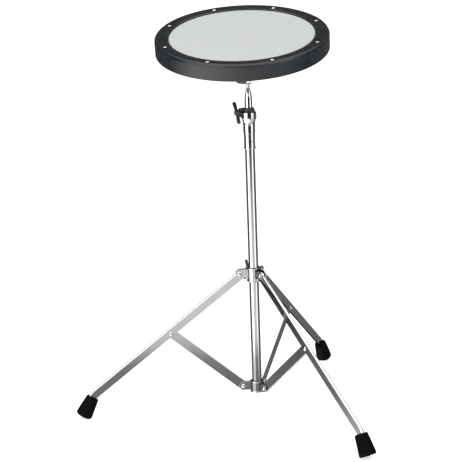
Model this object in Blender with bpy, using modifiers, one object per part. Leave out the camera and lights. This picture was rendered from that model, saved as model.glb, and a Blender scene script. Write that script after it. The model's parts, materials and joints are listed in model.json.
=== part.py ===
"""Tunable practice pad on a folding tripod stand (metres, +Z up, feet on z = 0)."""
import math

import bmesh
import bpy
from mathutils import Matrix, Vector

# Fits, and the share of an edge that a rounded corner may take
CLEARANCE = 0.0003
SLIDE_CLEARANCE = 0.00035
EDGE_ROUND = 0.0010
ROUND_SHARE = 0.48
MERGE = 0.00001

# Stand tube and telescopic rod
TUBE_RADIUS = 0.0080
TUBE_WALL = 0.0012
TUBE_LENGTH = 0.490
TUBE_BELOW_BRACES = 0.009
ROD_WALL = 0.0012
ROD_LENGTH = 0.372
ROD_EXPOSED = 0.0187
ROD_TAPER = 0.0153
ROD_TIP_RADIUS = 0.0043
GUIDE_LENGTH = 0.018
GUIDE_FLANGE = 0.0060
PLUG_DEPTH = 0.012
PLUG_FLANGE = 0.0025

# Folding legs: channel section, one rivet at the collar, one at the brace
LEG_COUNT = 3
LINK_LENGTH = 0.160
SPREAD_ANGLE = math.radians(50.3)
PIVOT_STANDOFF = 0.0164
LEG_DEPTH = 0.015
LEG_SHEET = 0.0011
LEG_TOP_RIVET = 0.0045
LEG_STRAIGHT = 0.331
LEG_BEND_RADIUS = 0.025
LEG_TAIL = 0.024
FOOT_ANGLE = math.radians(29.0)
BRACE_WIDTH = 0.014
BRACE_THICKNESS = 0.0030
BRACE_SWING_GAP = 0.0020
RIVET_RADIUS = 0.0024
RIVET_HEAD_RADIUS = 0.0042
RIVET_HEAD_HEIGHT = 0.0019

# Rubber feet
FOOT_TOP_RADIUS = 0.0110
FOOT_BOTTOM_RADIUS = 0.0150
FOOT_LENGTH = 0.0365
FOOT_EDGE = 0.0025
FOOT_DOME = 0.0012
SOLE_DEPTH = 0.0012

# Leg collar and bottom bracket: a sleeve with three pairs of ears
EAR_RADIUS = 0.0075
EAR_SHEET = 0.0018
SLEEVE_WALL = 0.0032
SLEEVE_LIP = 0.0009
SLEEVE_LIP_HEIGHT = 0.0018
COLLAR_ABOVE = 0.0095
COLLAR_BELOW = 0.0145
BRACKET_ABOVE = 0.0085
BRACKET_BELOW = 0.0115
COLLAR_BOSS_RADIUS = 0.0060
COLLAR_BOSS_REACH = 0.0040
COLLAR_SCREW_RISE = 0.0015
COLLAR_WING_TURN = math.radians(8.0)

# Wing screws and wing nut
WING_SPAN = 0.036
WING_THICKNESS = 0.0026
WING_TIP_RADIUS = 0.0036
WING_RISE = 0.0085
WING_HUB_RADIUS = 0.0055
WING_HUB_LENGTH = 0.0075
WING_HUB_TAPER = 0.80
WING_ROOT_SHARE = 0.40
SCREW_RADIUS = 0.0030

# Height clamp: turned body with pinch ears at the back
CLAMP_ABOVE_TUBE = 0.0112
CLAMP_BARREL_RADIUS = 0.0129
CLAMP_BARREL_HEIGHT = 0.0170
CLAMP_CONE_HEIGHT = 0.0120
CLAMP_WAIST_RADIUS = 0.0101
CLAMP_WAIST_HEIGHT = 0.0137
CLAMP_SKIRT_WALL = 0.0008
CLAMP_SKIRT_HEIGHT = 0.0268
CLAMP_LIP = 0.0007
CLAMP_LIP_HEIGHT = 0.0028
CLAMP_EAR_REACH = 0.0190
CLAMP_BOLT_OFFSET = 0.0133
CLAMP_SLIT = 0.0022
CLAMP_TOP_ROUND = 0.0018
CLAMP_WAIST_ROUND = 0.0040
CLAMP_EAR_ROUND = 0.0040
CLAMP_WING_TURN = math.radians(-30.0)
BUSH_FLANGE = 0.0014
BUSH_FLANGE_HEIGHT = 0.0016
BOLT_HEAD_RADIUS = 0.0065
BOLT_HEAD_HEIGHT = 0.0042
CLAMP_HEADING = math.radians(25.0)

# Tilter: two knuckles side by side on one wing screw
NECK_HEADING = math.radians(-7.7)
TILT_ANGLE = math.radians(15.3)
PIVOT_ABOVE_ROD = 0.0127
KNUCKLE_RADIUS = 0.0080
KNUCKLE_THICKNESS = 0.0080
KNUCKLE_SHIFT = 0.0020
TILT_WING_TURN = math.radians(70.0)
NECK_WAIST_RADIUS = 0.0030
STEM_RADIUS = 0.0026
STEM_LENGTH = 0.016
STUD_RADIUS = 0.0040
STUD_SHOULDER_RADIUS = 0.0062
STUD_SHOULDER_HEIGHT = 0.0050
LOCK_NUT_RADIUS = 0.0090
LOCK_NUT_HEIGHT = 0.0065

# Pad; the tension screws stand at a share of the rim's width in from its side
PAD_RADIUS = 0.146
PAD_ABOVE_PIVOT = 0.0608
RIM_HEIGHT = 0.0245
RIM_WALL = 0.0035
RIM_FLANGE = 0.0040
RIM_ROUND = 0.0042
RIM_INNER_ROUND = 0.0015
RIM_WIDTH = 0.0245
HEAD_RECESS = 0.0025
FILM = 0.0006
FILM_SHOULDER = 0.0016
BEARING_SETBACK = 0.0035
BEARING_WALL = 0.0030
HOOP_GAP = 0.0017
HOOP_WIDTH = 0.0035
HOOP_HEIGHT = 0.0070
BASE_RECESS = 0.0030
BASE_FLOOR = 0.0040
BASE_RIB_THICKNESS = 0.0024
BOSS_RADIUS = 0.0150
BOSS_DROP = 0.0060
INSERT_RADIUS = 0.0070
TENSION_COUNT = 8
TENSION_SHARE = 0.4653
TENSION_PHASE = math.radians(23.7)
TENSION_SHANK_RADIUS = 0.0024
TENSION_SHANK_LENGTH = 0.0150
TENSION_HEAD_RADIUS = 0.0045
TENSION_HEAD_HEIGHT = 0.0024
POST_WALL = 0.0022

# Facets
PAD_STEPS = 42
TUBE_STEPS = 18
SMALL_STEPS = 14
HOLE_STEPS = 10
BEND_STEPS = 5
END_STEPS = 8
DOME_STEPS = 3
TAPER_STEPS = 6
SMOOTH_ANGLE = math.radians(35.0)

# Values that follow from the sizes above
ROD_RADIUS = TUBE_RADIUS - TUBE_WALL - CLEARANCE
PIVOT_RADIUS = TUBE_RADIUS + PIVOT_STANDOFF
LEG_WIDTH = BRACE_THICKNESS + 2 * (CLEARANCE + LEG_SHEET)
LEG_MID_RIVET = LEG_SHEET + BRACE_WIDTH / 2 + BRACE_SWING_GAP
RIVET_OFFSET = LEG_MID_RIVET - LEG_TOP_RIVET
LEG_ANGLE = SPREAD_ANGLE + math.asin(RIVET_OFFSET / LINK_LENGTH)
LEG_CENTRE = LEG_TOP_RIVET - LEG_DEPTH / 2
RIVET_HOLE = RIVET_RADIUS + CLEARANCE
SCREW_HOLE = SCREW_RADIUS + CLEARANCE
BEND_RIGHT = LEG_BEND_RADIUS * (math.cos(FOOT_ANGLE) - math.cos(LEG_ANGLE))
BEND_DOWN = LEG_BEND_RADIUS * (math.sin(LEG_ANGLE) - math.sin(FOOT_ANGLE))
FOOT_TOP_OUT = LEG_STRAIGHT * math.sin(LEG_ANGLE) + BEND_RIGHT + LEG_CENTRE * math.cos(FOOT_ANGLE)
FOOT_TOP_DROP = LEG_STRAIGHT * math.cos(LEG_ANGLE) + BEND_DOWN - LEG_CENTRE * math.sin(FOOT_ANGLE)
FOOT_FLAT_RADIUS = FOOT_BOTTOM_RADIUS - FOOT_EDGE
FOOT_BOTTOM_Z = (FOOT_FLAT_RADIUS * math.sin(FOOT_ANGLE)
                 + FOOT_EDGE * (1 - math.cos(FOOT_ANGLE)) - SOLE_DEPTH)
FOOT_TOP_Z = FOOT_BOTTOM_Z + FOOT_LENGTH * math.cos(FOOT_ANGLE)
COLLAR_Z = FOOT_TOP_Z + FOOT_TOP_DROP
BRACKET_Z = COLLAR_Z - 2 * LINK_LENGTH * math.cos(SPREAD_ANGLE)
BRACE_RIVET = (PIVOT_RADIUS + LINK_LENGTH * math.sin(SPREAD_ANGLE),
               COLLAR_Z - LINK_LENGTH * math.cos(SPREAD_ANGLE))
FOOT_TOP = (PIVOT_RADIUS + FOOT_TOP_OUT, FOOT_TOP_Z)
FOOT_BOTTOM_OUT = FOOT_TOP[0] + FOOT_LENGTH * math.sin(FOOT_ANGLE)
TUBE_BOTTOM = BRACKET_Z - TUBE_BELOW_BRACES
TUBE_TOP = TUBE_BOTTOM + TUBE_LENGTH
CLAMP_TOP = TUBE_TOP + CLAMP_ABOVE_TUBE
ROD_TOP = CLAMP_TOP + ROD_EXPOSED + ROD_TAPER
ROD_BOTTOM = ROD_TOP - ROD_LENGTH
TILT_Z = ROD_TOP + PIVOT_ABOVE_ROD
FIRST_LEG = math.pi
LEG_STEP = 2 * math.pi / LEG_COUNT
REACH_BACK = FOOT_BOTTOM_OUT + FOOT_BOTTOM_RADIUS * math.cos(FOOT_ANGLE)
REACH_SIDE = (FOOT_BOTTOM_OUT * math.cos(LEG_STEP / 2)
              + FOOT_BOTTOM_RADIUS * math.hypot(math.cos(FOOT_ANGLE) * math.cos(LEG_STEP / 2),
                                                math.sin(LEG_STEP / 2)))
AXIS_X = (REACH_BACK - REACH_SIDE) / 2

UPPER_KNUCKLE_X = KNUCKLE_SHIFT - KNUCKLE_THICKNESS - CLEARANCE
LOWER_KNUCKLE_X = KNUCKLE_SHIFT
BOSS_BOTTOM = PAD_ABOVE_PIVOT - BOSS_DROP
LOCK_NUT_BOTTOM = BOSS_BOTTOM - CLEARANCE - LOCK_NUT_HEIGHT
RIM_TOP = PAD_ABOVE_PIVOT + RIM_HEIGHT
FLANGE_BOTTOM = RIM_TOP - RIM_FLANGE
HEAD_TOP = RIM_TOP - HEAD_RECESS
FLOOR_BOTTOM = PAD_ABOVE_PIVOT + BASE_RECESS
FLOOR_TOP = FLOOR_BOTTOM + BASE_FLOOR
HEAD_OPENING_RADIUS = PAD_RADIUS - RIM_WIDTH
BEARING_RADIUS = HEAD_OPENING_RADIUS - BEARING_SETBACK
BEARING_TOP = HEAD_TOP - FILM - CLEARANCE
BASE_RADIUS = PAD_RADIUS - RIM_WALL - CLEARANCE
INSERT_HOLE = STUD_RADIUS + CLEARANCE
TENSION_HOLE = TENSION_SHANK_RADIUS + CLEARANCE
TENSION_CIRCLE_RADIUS = PAD_RADIUS - RIM_WIDTH * TENSION_SHARE
POST_RADIUS = TENSION_HOLE + POST_WALL
HOOP_OUTER = TENSION_CIRCLE_RADIUS - POST_RADIUS - HOOP_GAP
HOOP_INNER = HOOP_OUTER - HOOP_WIDTH

SLEEVE_BORE = TUBE_RADIUS + SLIDE_CLEARANCE
SLEEVE_RADIUS = SLEEVE_BORE + SLEEVE_WALL
SLEEVE_ROOT = SLEEVE_BORE + SLEEVE_WALL / 2
LEG_EAR_GAP = LEG_WIDTH + 2 * CLEARANCE
BRACE_EAR_GAP = BRACE_THICKNESS + 2 * CLEARANCE
SCREW_HEADING = FIRST_LEG - LEG_STEP / 2

STAND_UP = Matrix.Rotation(math.pi / 2, 4, "X")
TURN_TO_LEFT = Matrix.Rotation(-math.pi / 2, 4, "Y")
TURN_TO_RIGHT = Matrix.Rotation(math.pi / 2, 4, "Y")


def clear_scene():
    """Remove every object and collection of the open file."""
    for obj in list(bpy.data.objects):
        bpy.data.objects.remove(obj, do_unlink=True)
    for collection in list(bpy.data.collections):
        bpy.data.collections.remove(collection)


def new_collection(name):
    """Add a collection under the scene."""
    collection = bpy.data.collections.new(name)
    bpy.context.scene.collection.children.link(collection)
    return collection


clear_scene()
PARTS = new_collection("practice_pad_on_stand")
CUTTERS = new_collection("cutters")


def finish_material(name, colour, roughness, metallic):
    """Principled material with one colour, roughness and metallic value."""
    material = bpy.data.materials.new(name)
    material.use_nodes = True
    shader = material.node_tree.nodes["Principled BSDF"]
    shader.inputs["Base Color"].default_value = (*colour, 1.0)
    shader.inputs["Roughness"].default_value = roughness
    shader.inputs["Metallic"].default_value = metallic
    return material


CHROME = finish_material("chrome", (0.78, 0.79, 0.80), 0.10, 1.0)
STEEL = finish_material("plated_steel", (0.55, 0.56, 0.57), 0.25, 1.0)
DARK_CAST = finish_material("dark_cast_metal", (0.10, 0.10, 0.105), 0.45, 0.6)
CHARCOAL = finish_material("charcoal_plastic", (0.062, 0.068, 0.074), 0.5, 0.0)
BASE_PLASTIC = finish_material("base_plastic", (0.045, 0.047, 0.05), 0.55, 0.0)
HEAD_FILM = finish_material("coated_film", (0.66, 0.68, 0.69), 0.55, 0.0)
ALUMINIUM = finish_material("aluminium", (0.70, 0.71, 0.72), 0.35, 1.0)
FOAM = finish_material("foam", (0.09, 0.09, 0.095), 0.95, 0.0)
BRASS = finish_material("brass", (0.66, 0.50, 0.22), 0.30, 1.0)
RUBBER = finish_material("rubber", (0.012, 0.012, 0.013), 0.7, 0.0)
NYLON = finish_material("nylon", (0.03, 0.03, 0.032), 0.5, 0.0)


def rounded(points, segments=3):
    """Closed outline through (x, y) or (x, y, corner radius) points.

    A corner radius is held to what its two edges leave room for.
    """
    path = []
    count = len(points)
    for index, point in enumerate(points):
        corner = Vector(point[:2])
        radius = point[2] if len(point) > 2 else 0.0
        if radius == 0.0:
            path.append(tuple(corner))
            continue
        back = Vector(points[index - 1][:2]) - corner
        ahead = Vector(points[(index + 1) % count][:2]) - corner
        half = back.angle(ahead) / 2
        reach = min(radius / math.tan(half), ROUND_SHARE * back.length, ROUND_SHARE * ahead.length)
        middle = corner + (back.normalized() + ahead.normalized()).normalized() * reach / math.cos(half)
        start = corner + back.normalized() * reach - middle
        sweep = start.angle_signed(corner + ahead.normalized() * reach - middle)
        for step in range(segments + 1):
            turn = Matrix.Rotation(-sweep * step / segments, 2)
            path.append(tuple(middle + turn @ start))
    return path


def arc(centre, radius, start, end, segments):
    """Points of an arc, ends included; angles in radians."""
    return [(centre[0] + radius * math.cos(start + (end - start) * step / segments),
             centre[1] + radius * math.sin(start + (end - start) * step / segments))
            for step in range(segments + 1)]


def circle(centre, radius, steps=HOLE_STEPS):
    """Points of a full circle."""
    return arc(centre, radius, 0.0, 2 * math.pi, steps)[:-1]


def link_outline(first, first_radius, second, second_radius, segments=6):
    """Outline of a bar with two round ends, straight along its outer tangents."""
    run = Vector(second) - Vector(first)
    heading = math.atan2(run.y, run.x)
    lean = math.acos((first_radius - second_radius) / run.length)
    return (arc(second, second_radius, heading - lean, heading + lean, segments)
            + arc(first, first_radius, heading + lean, heading + 2 * math.pi - lean, segments))


def dome(radius, height, seat):
    """Profile of a domed head, from its top on the axis down to the rim of its seat."""
    return [(radius * math.sin(math.pi / 2 * step / DOME_STEPS),
             seat + height * math.cos(math.pi / 2 * step / DOME_STEPS)) for step in range(DOME_STEPS + 1)]


def turned(name, profile, steps=TUBE_STEPS):
    """Turn a (radius, height) profile about local Z.

    The profile runs down its outer side. It is a closed loop unless both its ends lie on the axis.
    """
    mesh = bpy.data.meshes.new(name)
    count = len(profile)
    edges = [(index, index + 1) for index in range(count - 1)]
    if profile[0][0] > 0:
        edges.append((count - 1, 0))
    mesh.from_pydata([(radius, 0.0, height) for radius, height in profile], edges, [])
    obj = bpy.data.objects.new(name, mesh)
    screw = obj.modifiers.new("turn", "SCREW")
    screw.axis = "Z"
    screw.steps = steps
    screw.render_steps = steps
    screw.use_merge_vertices = True
    screw.merge_threshold = MERGE
    return obj


def plate(name, outline, thickness, holes=()):
    """Flat outline in local XY, as thick as given along local Z, with holes right through."""
    curve = bpy.data.curves.new(name, "CURVE")
    curve.dimensions = "2D"
    curve.fill_mode = "BOTH"
    curve.extrude = thickness / 2
    for loop in (outline, *holes):
        spline = curve.splines.new("POLY")
        spline.points.add(len(loop) - 1)
        for point, (x, y) in zip(spline.points, loop):
            point.co = (x, y, 0.0, 1.0)
        spline.use_cyclic_u = True
    flat = bpy.data.objects.new(name + "_outline", curve)
    PARTS.objects.link(flat)
    evaluated = flat.evaluated_get(bpy.context.evaluated_depsgraph_get())
    mesh = bpy.data.meshes.new_from_object(evaluated)
    bpy.data.objects.remove(flat)
    shape = bmesh.new()
    shape.from_mesh(mesh)
    bmesh.ops.remove_doubles(shape, verts=shape.verts, dist=MERGE)
    bmesh.ops.recalc_face_normals(shape, faces=shape.faces)
    shape.to_mesh(mesh)
    shape.free()
    mesh.name = name
    return bpy.data.objects.new(name, mesh)


def cylinder(name, radius, length, steps=HOLE_STEPS):
    """Cylinder on local Z, centred on its origin."""
    mesh = bpy.data.meshes.new(name)
    shape = bmesh.new()
    bmesh.ops.create_cone(shape, cap_ends=True, segments=steps, radius1=radius, radius2=radius, depth=length)
    shape.to_mesh(mesh)
    shape.free()
    return bpy.data.objects.new(name, mesh)


def block(name, size):
    """Box of the given size, centred on its origin."""
    mesh = bpy.data.meshes.new(name)
    shape = bmesh.new()
    bmesh.ops.create_cube(shape, matrix=Matrix.Diagonal((*size, 1.0)))
    shape.to_mesh(mesh)
    shape.free()
    return bpy.data.objects.new(name, mesh)


def empty(name, matrix, parent=None):
    """Empty that carries pieces; it stands on a joint's axis where its pieces move."""
    holder = bpy.data.objects.new(name, None)
    holder.empty_display_size = 0.01
    holder.parent = parent
    holder.matrix_basis = matrix
    PARTS.objects.link(holder)
    return holder


def place(obj, parent, material, matrix=Matrix()):
    """Put a piece under its parent, in its material."""
    PARTS.objects.link(obj)
    obj.parent = parent
    obj.matrix_basis = matrix
    obj.data.materials.clear()
    obj.data.materials.append(material)
    return obj


def shape_with(target, tool, operation, matrix=Matrix()):
    """Join a tool to the target, or cut it away, in the target's own coordinates."""
    CUTTERS.objects.link(tool)
    tool.hide_render = True
    tool.display_type = "WIRE"
    tool.parent = target
    tool.matrix_basis = matrix
    modifier = target.modifiers.new(tool.name, "BOOLEAN")
    modifier.operation = operation
    modifier.object = tool


def join(target, tool, matrix=Matrix()):
    """Union of the target and a tool."""
    shape_with(target, tool, "UNION", matrix)


def cut(target, tool, matrix=Matrix()):
    """Target without a tool's volume."""
    shape_with(target, tool, "DIFFERENCE", matrix)


def settle_meshes():
    """Turn each part's modifiers into its mesh and shade its round faces smooth."""
    graph = bpy.context.evaluated_depsgraph_get()
    solids = [obj for obj in PARTS.objects if obj.type == "MESH"]
    meshes = [bpy.data.meshes.new_from_object(obj.evaluated_get(graph)) for obj in solids]
    for obj, mesh in zip(solids, meshes):
        obj.modifiers.clear()
        material = obj.data.materials[0]
        obj.data = mesh
        mesh.name = obj.name
        mesh.materials.clear()
        mesh.materials.append(material)
        mesh.shade_smooth()
        mesh.set_sharp_from_angle(angle=SMOOTH_ANGLE)


def at(x, y, z):
    """Translation matrix."""
    return Matrix.Translation((x, y, z))


def leg_heading(index):
    """Azimuth of a leg, counted from leg 1."""
    return FIRST_LEG + index * LEG_STEP


def about_z(angle):
    """Rotation about Z."""
    return Matrix.Rotation(angle, 4, "Z")


def leg_path(offset, start, end):
    """Leg line in (radius, height), at an offset to its outer side.

    It starts at a length along the leg from the top rivet and runs on past the bend by a length.
    """
    down = Vector((math.sin(LEG_ANGLE), -math.cos(LEG_ANGLE)))
    out = Vector((math.cos(LEG_ANGLE), math.sin(LEG_ANGLE)))
    foot_down = Vector((math.sin(FOOT_ANGLE), -math.cos(FOOT_ANGLE)))
    top = Vector((PIVOT_RADIUS, COLLAR_Z))
    bend_centre = top + down * LEG_STRAIGHT - out * LEG_BEND_RADIUS
    points = [tuple(top + down * start + out * offset)]
    points += arc(bend_centre, LEG_BEND_RADIUS + offset, LEG_ANGLE, FOOT_ANGLE, BEND_STEPS)
    points.append(tuple(Vector(points[-1]) + foot_down * end))
    return points


def from_point(points, origin):
    """The same points, counted from an origin."""
    return [(x - origin[0], y - origin[1]) for x, y in points]


def build_leg(index, plane):
    """Folded channel, open towards the tube, bent more upright where it enters its foot."""
    name = f"leg_{index + 1}"
    inner = LEG_TOP_RIVET - LEG_DEPTH
    top_rivet = (PIVOT_RADIUS, COLLAR_Z)
    top_centre = (PIVOT_RADIUS + LEG_CENTRE * math.cos(LEG_ANGLE),
                  COLLAR_Z + LEG_CENTRE * math.sin(LEG_ANGLE))
    outline = leg_path(LEG_TOP_RIVET, 0.0, LEG_TAIL)
    outline += reversed(leg_path(inner, 0.0, LEG_TAIL))
    outline += arc(top_centre, LEG_DEPTH / 2, LEG_ANGLE + math.pi, LEG_ANGLE, END_STEPS)[1:-1]
    holes = [circle(top_rivet, RIVET_HOLE), circle(BRACE_RIVET, RIVET_HOLE)]
    leg = plate(name, from_point(outline, BRACE_RIVET), LEG_WIDTH,
                [from_point(hole, BRACE_RIVET) for hole in holes])
    place(leg, plane, CHROME, at(*BRACE_RIVET, 0.0))
    past = LEG_SHEET
    channel = leg_path(LEG_TOP_RIVET - LEG_SHEET, -LEG_DEPTH, LEG_TAIL + past)
    channel += reversed(leg_path(inner - past, -LEG_DEPTH, LEG_TAIL + past))
    cut(leg, plate(name + "_channel", from_point(channel, BRACE_RIVET), LEG_WIDTH - 2 * LEG_SHEET))


def build_brace(index, plane):
    """Flat bar with round ends, from the bottom bracket to the middle of a leg."""
    name = f"brace_{index + 1}"
    lower = (PIVOT_RADIUS, BRACKET_Z)
    upper = (BRACE_RIVET[0] - lower[0], BRACE_RIVET[1] - lower[1])
    outline = link_outline((0.0, 0.0), BRACE_WIDTH / 2, upper, BRACE_WIDTH / 2)
    holes = [circle((0.0, 0.0), RIVET_HOLE), circle(upper, RIVET_HOLE)]
    place(plate(name, outline, BRACE_THICKNESS, holes), plane, STEEL, at(*lower, 0.0))


def build_foot(index, plane, floor):
    """Tapered rubber tip on a leg's end, its sole flat where it meets the floor."""
    name = f"foot_{index + 1}"
    profile = rounded([(0.0, FOOT_LENGTH), (FOOT_TOP_RADIUS, FOOT_LENGTH, FOOT_EDGE / 2),
                       (FOOT_BOTTOM_RADIUS, 0.0, FOOT_EDGE), (0.0, -FOOT_DOME)])
    foot = turned(name, profile)
    out = (math.cos(FOOT_ANGLE), math.sin(FOOT_ANGLE))
    lean = Matrix(((0.0, out[0], -out[1]), (0.0, out[1], out[0]), (1.0, 0.0, 0.0))).to_4x4()
    bottom = at(FOOT_BOTTOM_OUT, FOOT_BOTTOM_Z, 0.0)
    place(foot, plane, RUBBER, bottom @ lean)
    socket_depth = LEG_TAIL + CLEARANCE
    socket = block(name + "_socket", (LEG_WIDTH + 2 * CLEARANCE, LEG_DEPTH + 2 * CLEARANCE, 2 * socket_depth))
    cut(foot, socket, at(0.0, 0.0, FOOT_LENGTH))
    sole = foot.modifiers.new("sole", "BOOLEAN")
    sole.operation = "DIFFERENCE"
    sole.object = floor


def build_rivet(name, parent, place_at, grip):
    """Rivet across the leg's plane, with a domed head at both ends of its grip."""
    half = grip / 2 + CLEARANCE
    head = dome(RIVET_HEAD_RADIUS, RIVET_HEAD_HEIGHT, half)
    shank = [(RIVET_RADIUS, half), (RIVET_RADIUS, -half)]
    tail = [(radius, -height) for radius, height in reversed(head)]
    place(turned(name, head + shank + tail, HOLE_STEPS), parent, STEEL, place_at)


def sleeve_with_ears(name, above, below, gap):
    """Sleeve on the tube with a pair of ears for each leg plane; the ears' rivets are at height 0."""
    lip_radius = SLEEVE_RADIUS + SLEEVE_LIP
    sleeve = turned(name, [(lip_radius, above), (lip_radius, above - SLEEVE_LIP_HEIGHT),
                           (SLEEVE_RADIUS, above - SLEEVE_LIP_HEIGHT),
                           (SLEEVE_RADIUS, SLEEVE_LIP_HEIGHT - below),
                           (lip_radius, SLEEVE_LIP_HEIGHT - below), (lip_radius, -below),
                           (SLEEVE_BORE, -below), (SLEEVE_BORE, above)])
    outline = [(SLEEVE_ROOT, EAR_RADIUS), (SLEEVE_ROOT, -EAR_RADIUS)]
    outline += arc((PIVOT_RADIUS, 0.0), EAR_RADIUS, -math.pi / 2, math.pi / 2, END_STEPS)
    hole = circle((PIVOT_RADIUS, 0.0), RIVET_HOLE)
    for index in range(LEG_COUNT):
        for side in (-1, 1):
            ear = plate(f"{name}_ear_{index + 1}_{side}", outline, EAR_SHEET, [hole])
            shift = at(0.0, 0.0, side * (gap + EAR_SHEET) / 2)
            join(sleeve, ear, about_z(leg_heading(index)) @ STAND_UP @ shift)
    return sleeve


def wing_blades(body, name, root):
    """Add two wings to a hub that stands on local Z, each a tapered bar with a round tip."""
    tip = (WING_SPAN / 2 - WING_TIP_RADIUS, WING_RISE)
    root_radius = WING_ROOT_SHARE * WING_HUB_LENGTH
    outline = link_outline((root + root_radius, WING_HUB_LENGTH / 2), root_radius, tip, WING_TIP_RADIUS)
    for side in range(2):
        blade = plate(f"{name}_blade_{side + 1}", outline, WING_THICKNESS)
        join(body, blade, about_z(side * math.pi) @ STAND_UP)


def wing_screw(name, shank):
    """Wing screw whose seat is at height 0, its shank below and its wings above."""
    screw = turned(name, rounded([
        (0.0, WING_HUB_LENGTH), (WING_HUB_RADIUS * WING_HUB_TAPER, WING_HUB_LENGTH, EDGE_ROUND),
        (WING_HUB_RADIUS, 0.0), (SCREW_RADIUS, 0.0), (SCREW_RADIUS, -shank), (0.0, -shank)]), SMALL_STEPS)
    wing_blades(screw, name, SCREW_RADIUS)
    return screw


def wing_nut(name):
    """Wing nut whose seat is at height 0, with a hole for its bolt."""
    nut = turned(name, [(WING_HUB_RADIUS * WING_HUB_TAPER, WING_HUB_LENGTH), (WING_HUB_RADIUS, 0.0),
                        (SCREW_HOLE, 0.0), (SCREW_HOLE, WING_HUB_LENGTH)], SMALL_STEPS)
    wing_blades(nut, name, SCREW_HOLE + CLEARANCE)
    return nut


def build_legs(axis):
    """Three leg planes with their legs, braces, feet and rivets, and the two eared sleeves."""
    floor = block("floor", (4 * FOOT_BOTTOM_OUT, 4 * FOOT_BOTTOM_OUT, 2 * FOOT_LENGTH))
    CUTTERS.objects.link(floor)
    floor.hide_render = True
    floor.display_type = "WIRE"
    floor.location = (AXIS_X, 0.0, -FOOT_LENGTH)
    planes = [empty(f"leg_plane_{index + 1}", about_z(leg_heading(index)) @ STAND_UP, axis)
              for index in range(LEG_COUNT)]
    collar_pivot = empty("collar_pivot", at(PIVOT_RADIUS, COLLAR_Z, 0.0), planes[0])
    for index, plane in enumerate(planes):
        number = index + 1
        build_leg(index, plane)
        build_brace(index, plane)
        build_foot(index, plane, floor)
        build_rivet(f"leg_rivet_{number}", plane, at(*BRACE_RIVET, 0.0), LEG_WIDTH)
        build_rivet(f"bracket_rivet_{number}", plane, at(PIVOT_RADIUS, BRACKET_Z, 0.0),
                    BRACE_EAR_GAP + 2 * EAR_SHEET)
        build_rivet(f"collar_rivet_{number}", plane, at(PIVOT_RADIUS, COLLAR_Z, 0.0),
                    LEG_EAR_GAP + 2 * EAR_SHEET)
    bracket = sleeve_with_ears("bottom_bracket", BRACKET_ABOVE, BRACKET_BELOW, BRACE_EAR_GAP)
    place(bracket, axis, CHROME, at(0.0, 0.0, BRACKET_Z))
    build_collar(collar_pivot, (about_z(leg_heading(0)) @ STAND_UP).inverted())


def build_collar(pivot, upright):
    """Sliding leg collar with a threaded boss and the wing screw that locks it to the tube."""
    collar = sleeve_with_ears("leg_collar", COLLAR_ABOVE, COLLAR_BELOW, LEG_EAR_GAP)
    to_axis = at(-PIVOT_RADIUS, 0.0, 0.0) @ upright
    place(collar, pivot, CHROME, to_axis)
    boss_end = SLEEVE_RADIUS + COLLAR_BOSS_REACH
    outwards = about_z(SCREW_HEADING) @ TURN_TO_RIGHT
    boss = cylinder("collar_boss", COLLAR_BOSS_RADIUS, boss_end - SLEEVE_ROOT, SMALL_STEPS)
    rise = at(0.0, 0.0, COLLAR_SCREW_RISE)
    join(collar, boss, rise @ outwards @ at(0.0, 0.0, (boss_end + SLEEVE_ROOT) / 2))
    hole = cylinder("collar_screw_hole", SCREW_HOLE, boss_end)
    cut(collar, hole, rise @ outwards @ at(0.0, 0.0, (boss_end + SLEEVE_BORE) / 2))
    seat = boss_end + CLEARANCE
    screw = wing_screw("collar_wing_screw", seat - TUBE_RADIUS - CLEARANCE)
    upright_wings = about_z(COLLAR_WING_TURN)
    place(screw, pivot, DARK_CAST, to_axis @ rise @ outwards @ at(0.0, 0.0, seat) @ upright_wings)


def build_mast(axis):
    """Main tube, its end plug, and the rod that slides and turns in it."""
    inner = TUBE_RADIUS - TUBE_WALL
    place(turned("main_tube", [(TUBE_RADIUS, TUBE_TOP), (TUBE_RADIUS, TUBE_BOTTOM),
                               (inner, TUBE_BOTTOM), (inner, TUBE_TOP)]), axis, CHROME)
    flange_top = TUBE_BOTTOM - CLEARANCE
    plug = turned("tube_end_plug", rounded([
        (0.0, TUBE_BOTTOM + PLUG_DEPTH), (inner - CLEARANCE, TUBE_BOTTOM + PLUG_DEPTH, EDGE_ROUND),
        (inner - CLEARANCE, flange_top), (TUBE_RADIUS, flange_top),
        (TUBE_RADIUS, flange_top - PLUG_FLANGE, EDGE_ROUND), (0.0, flange_top - PLUG_FLANGE)]), SMALL_STEPS)
    place(plug, axis, NYLON)

    bore = ROD_RADIUS - ROD_WALL
    stem_hole = STEM_RADIUS + CLEARANCE
    taper = [(ROD_TIP_RADIUS + (ROD_RADIUS - ROD_TIP_RADIUS) * math.sin(math.pi / 2 * step / TAPER_STEPS),
              ROD_TOP - ROD_TAPER * step / TAPER_STEPS) for step in range(TAPER_STEPS + 1)]
    rod = turned("upper_rod", taper + [(ROD_RADIUS, ROD_BOTTOM), (bore, ROD_BOTTOM),
                                       (bore, ROD_TOP - STEM_LENGTH - ROD_WALL),
                                       (stem_hole, ROD_TOP - STEM_LENGTH), (stem_hole, ROD_TOP)])
    place(rod, axis, CHROME)
    guide_top = ROD_BOTTOM + GUIDE_LENGTH
    seat = ROD_BOTTOM - CLEARANCE
    guide = turned("rod_guide", rounded([
        (0.0, guide_top), (bore - CLEARANCE, guide_top, EDGE_ROUND), (bore - CLEARANCE, seat),
        (ROD_RADIUS, seat), (ROD_RADIUS, seat - GUIDE_FLANGE, EDGE_ROUND), (0.0, seat - GUIDE_FLANGE)]),
        SMALL_STEPS)
    place(guide, axis, NYLON)


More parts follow.
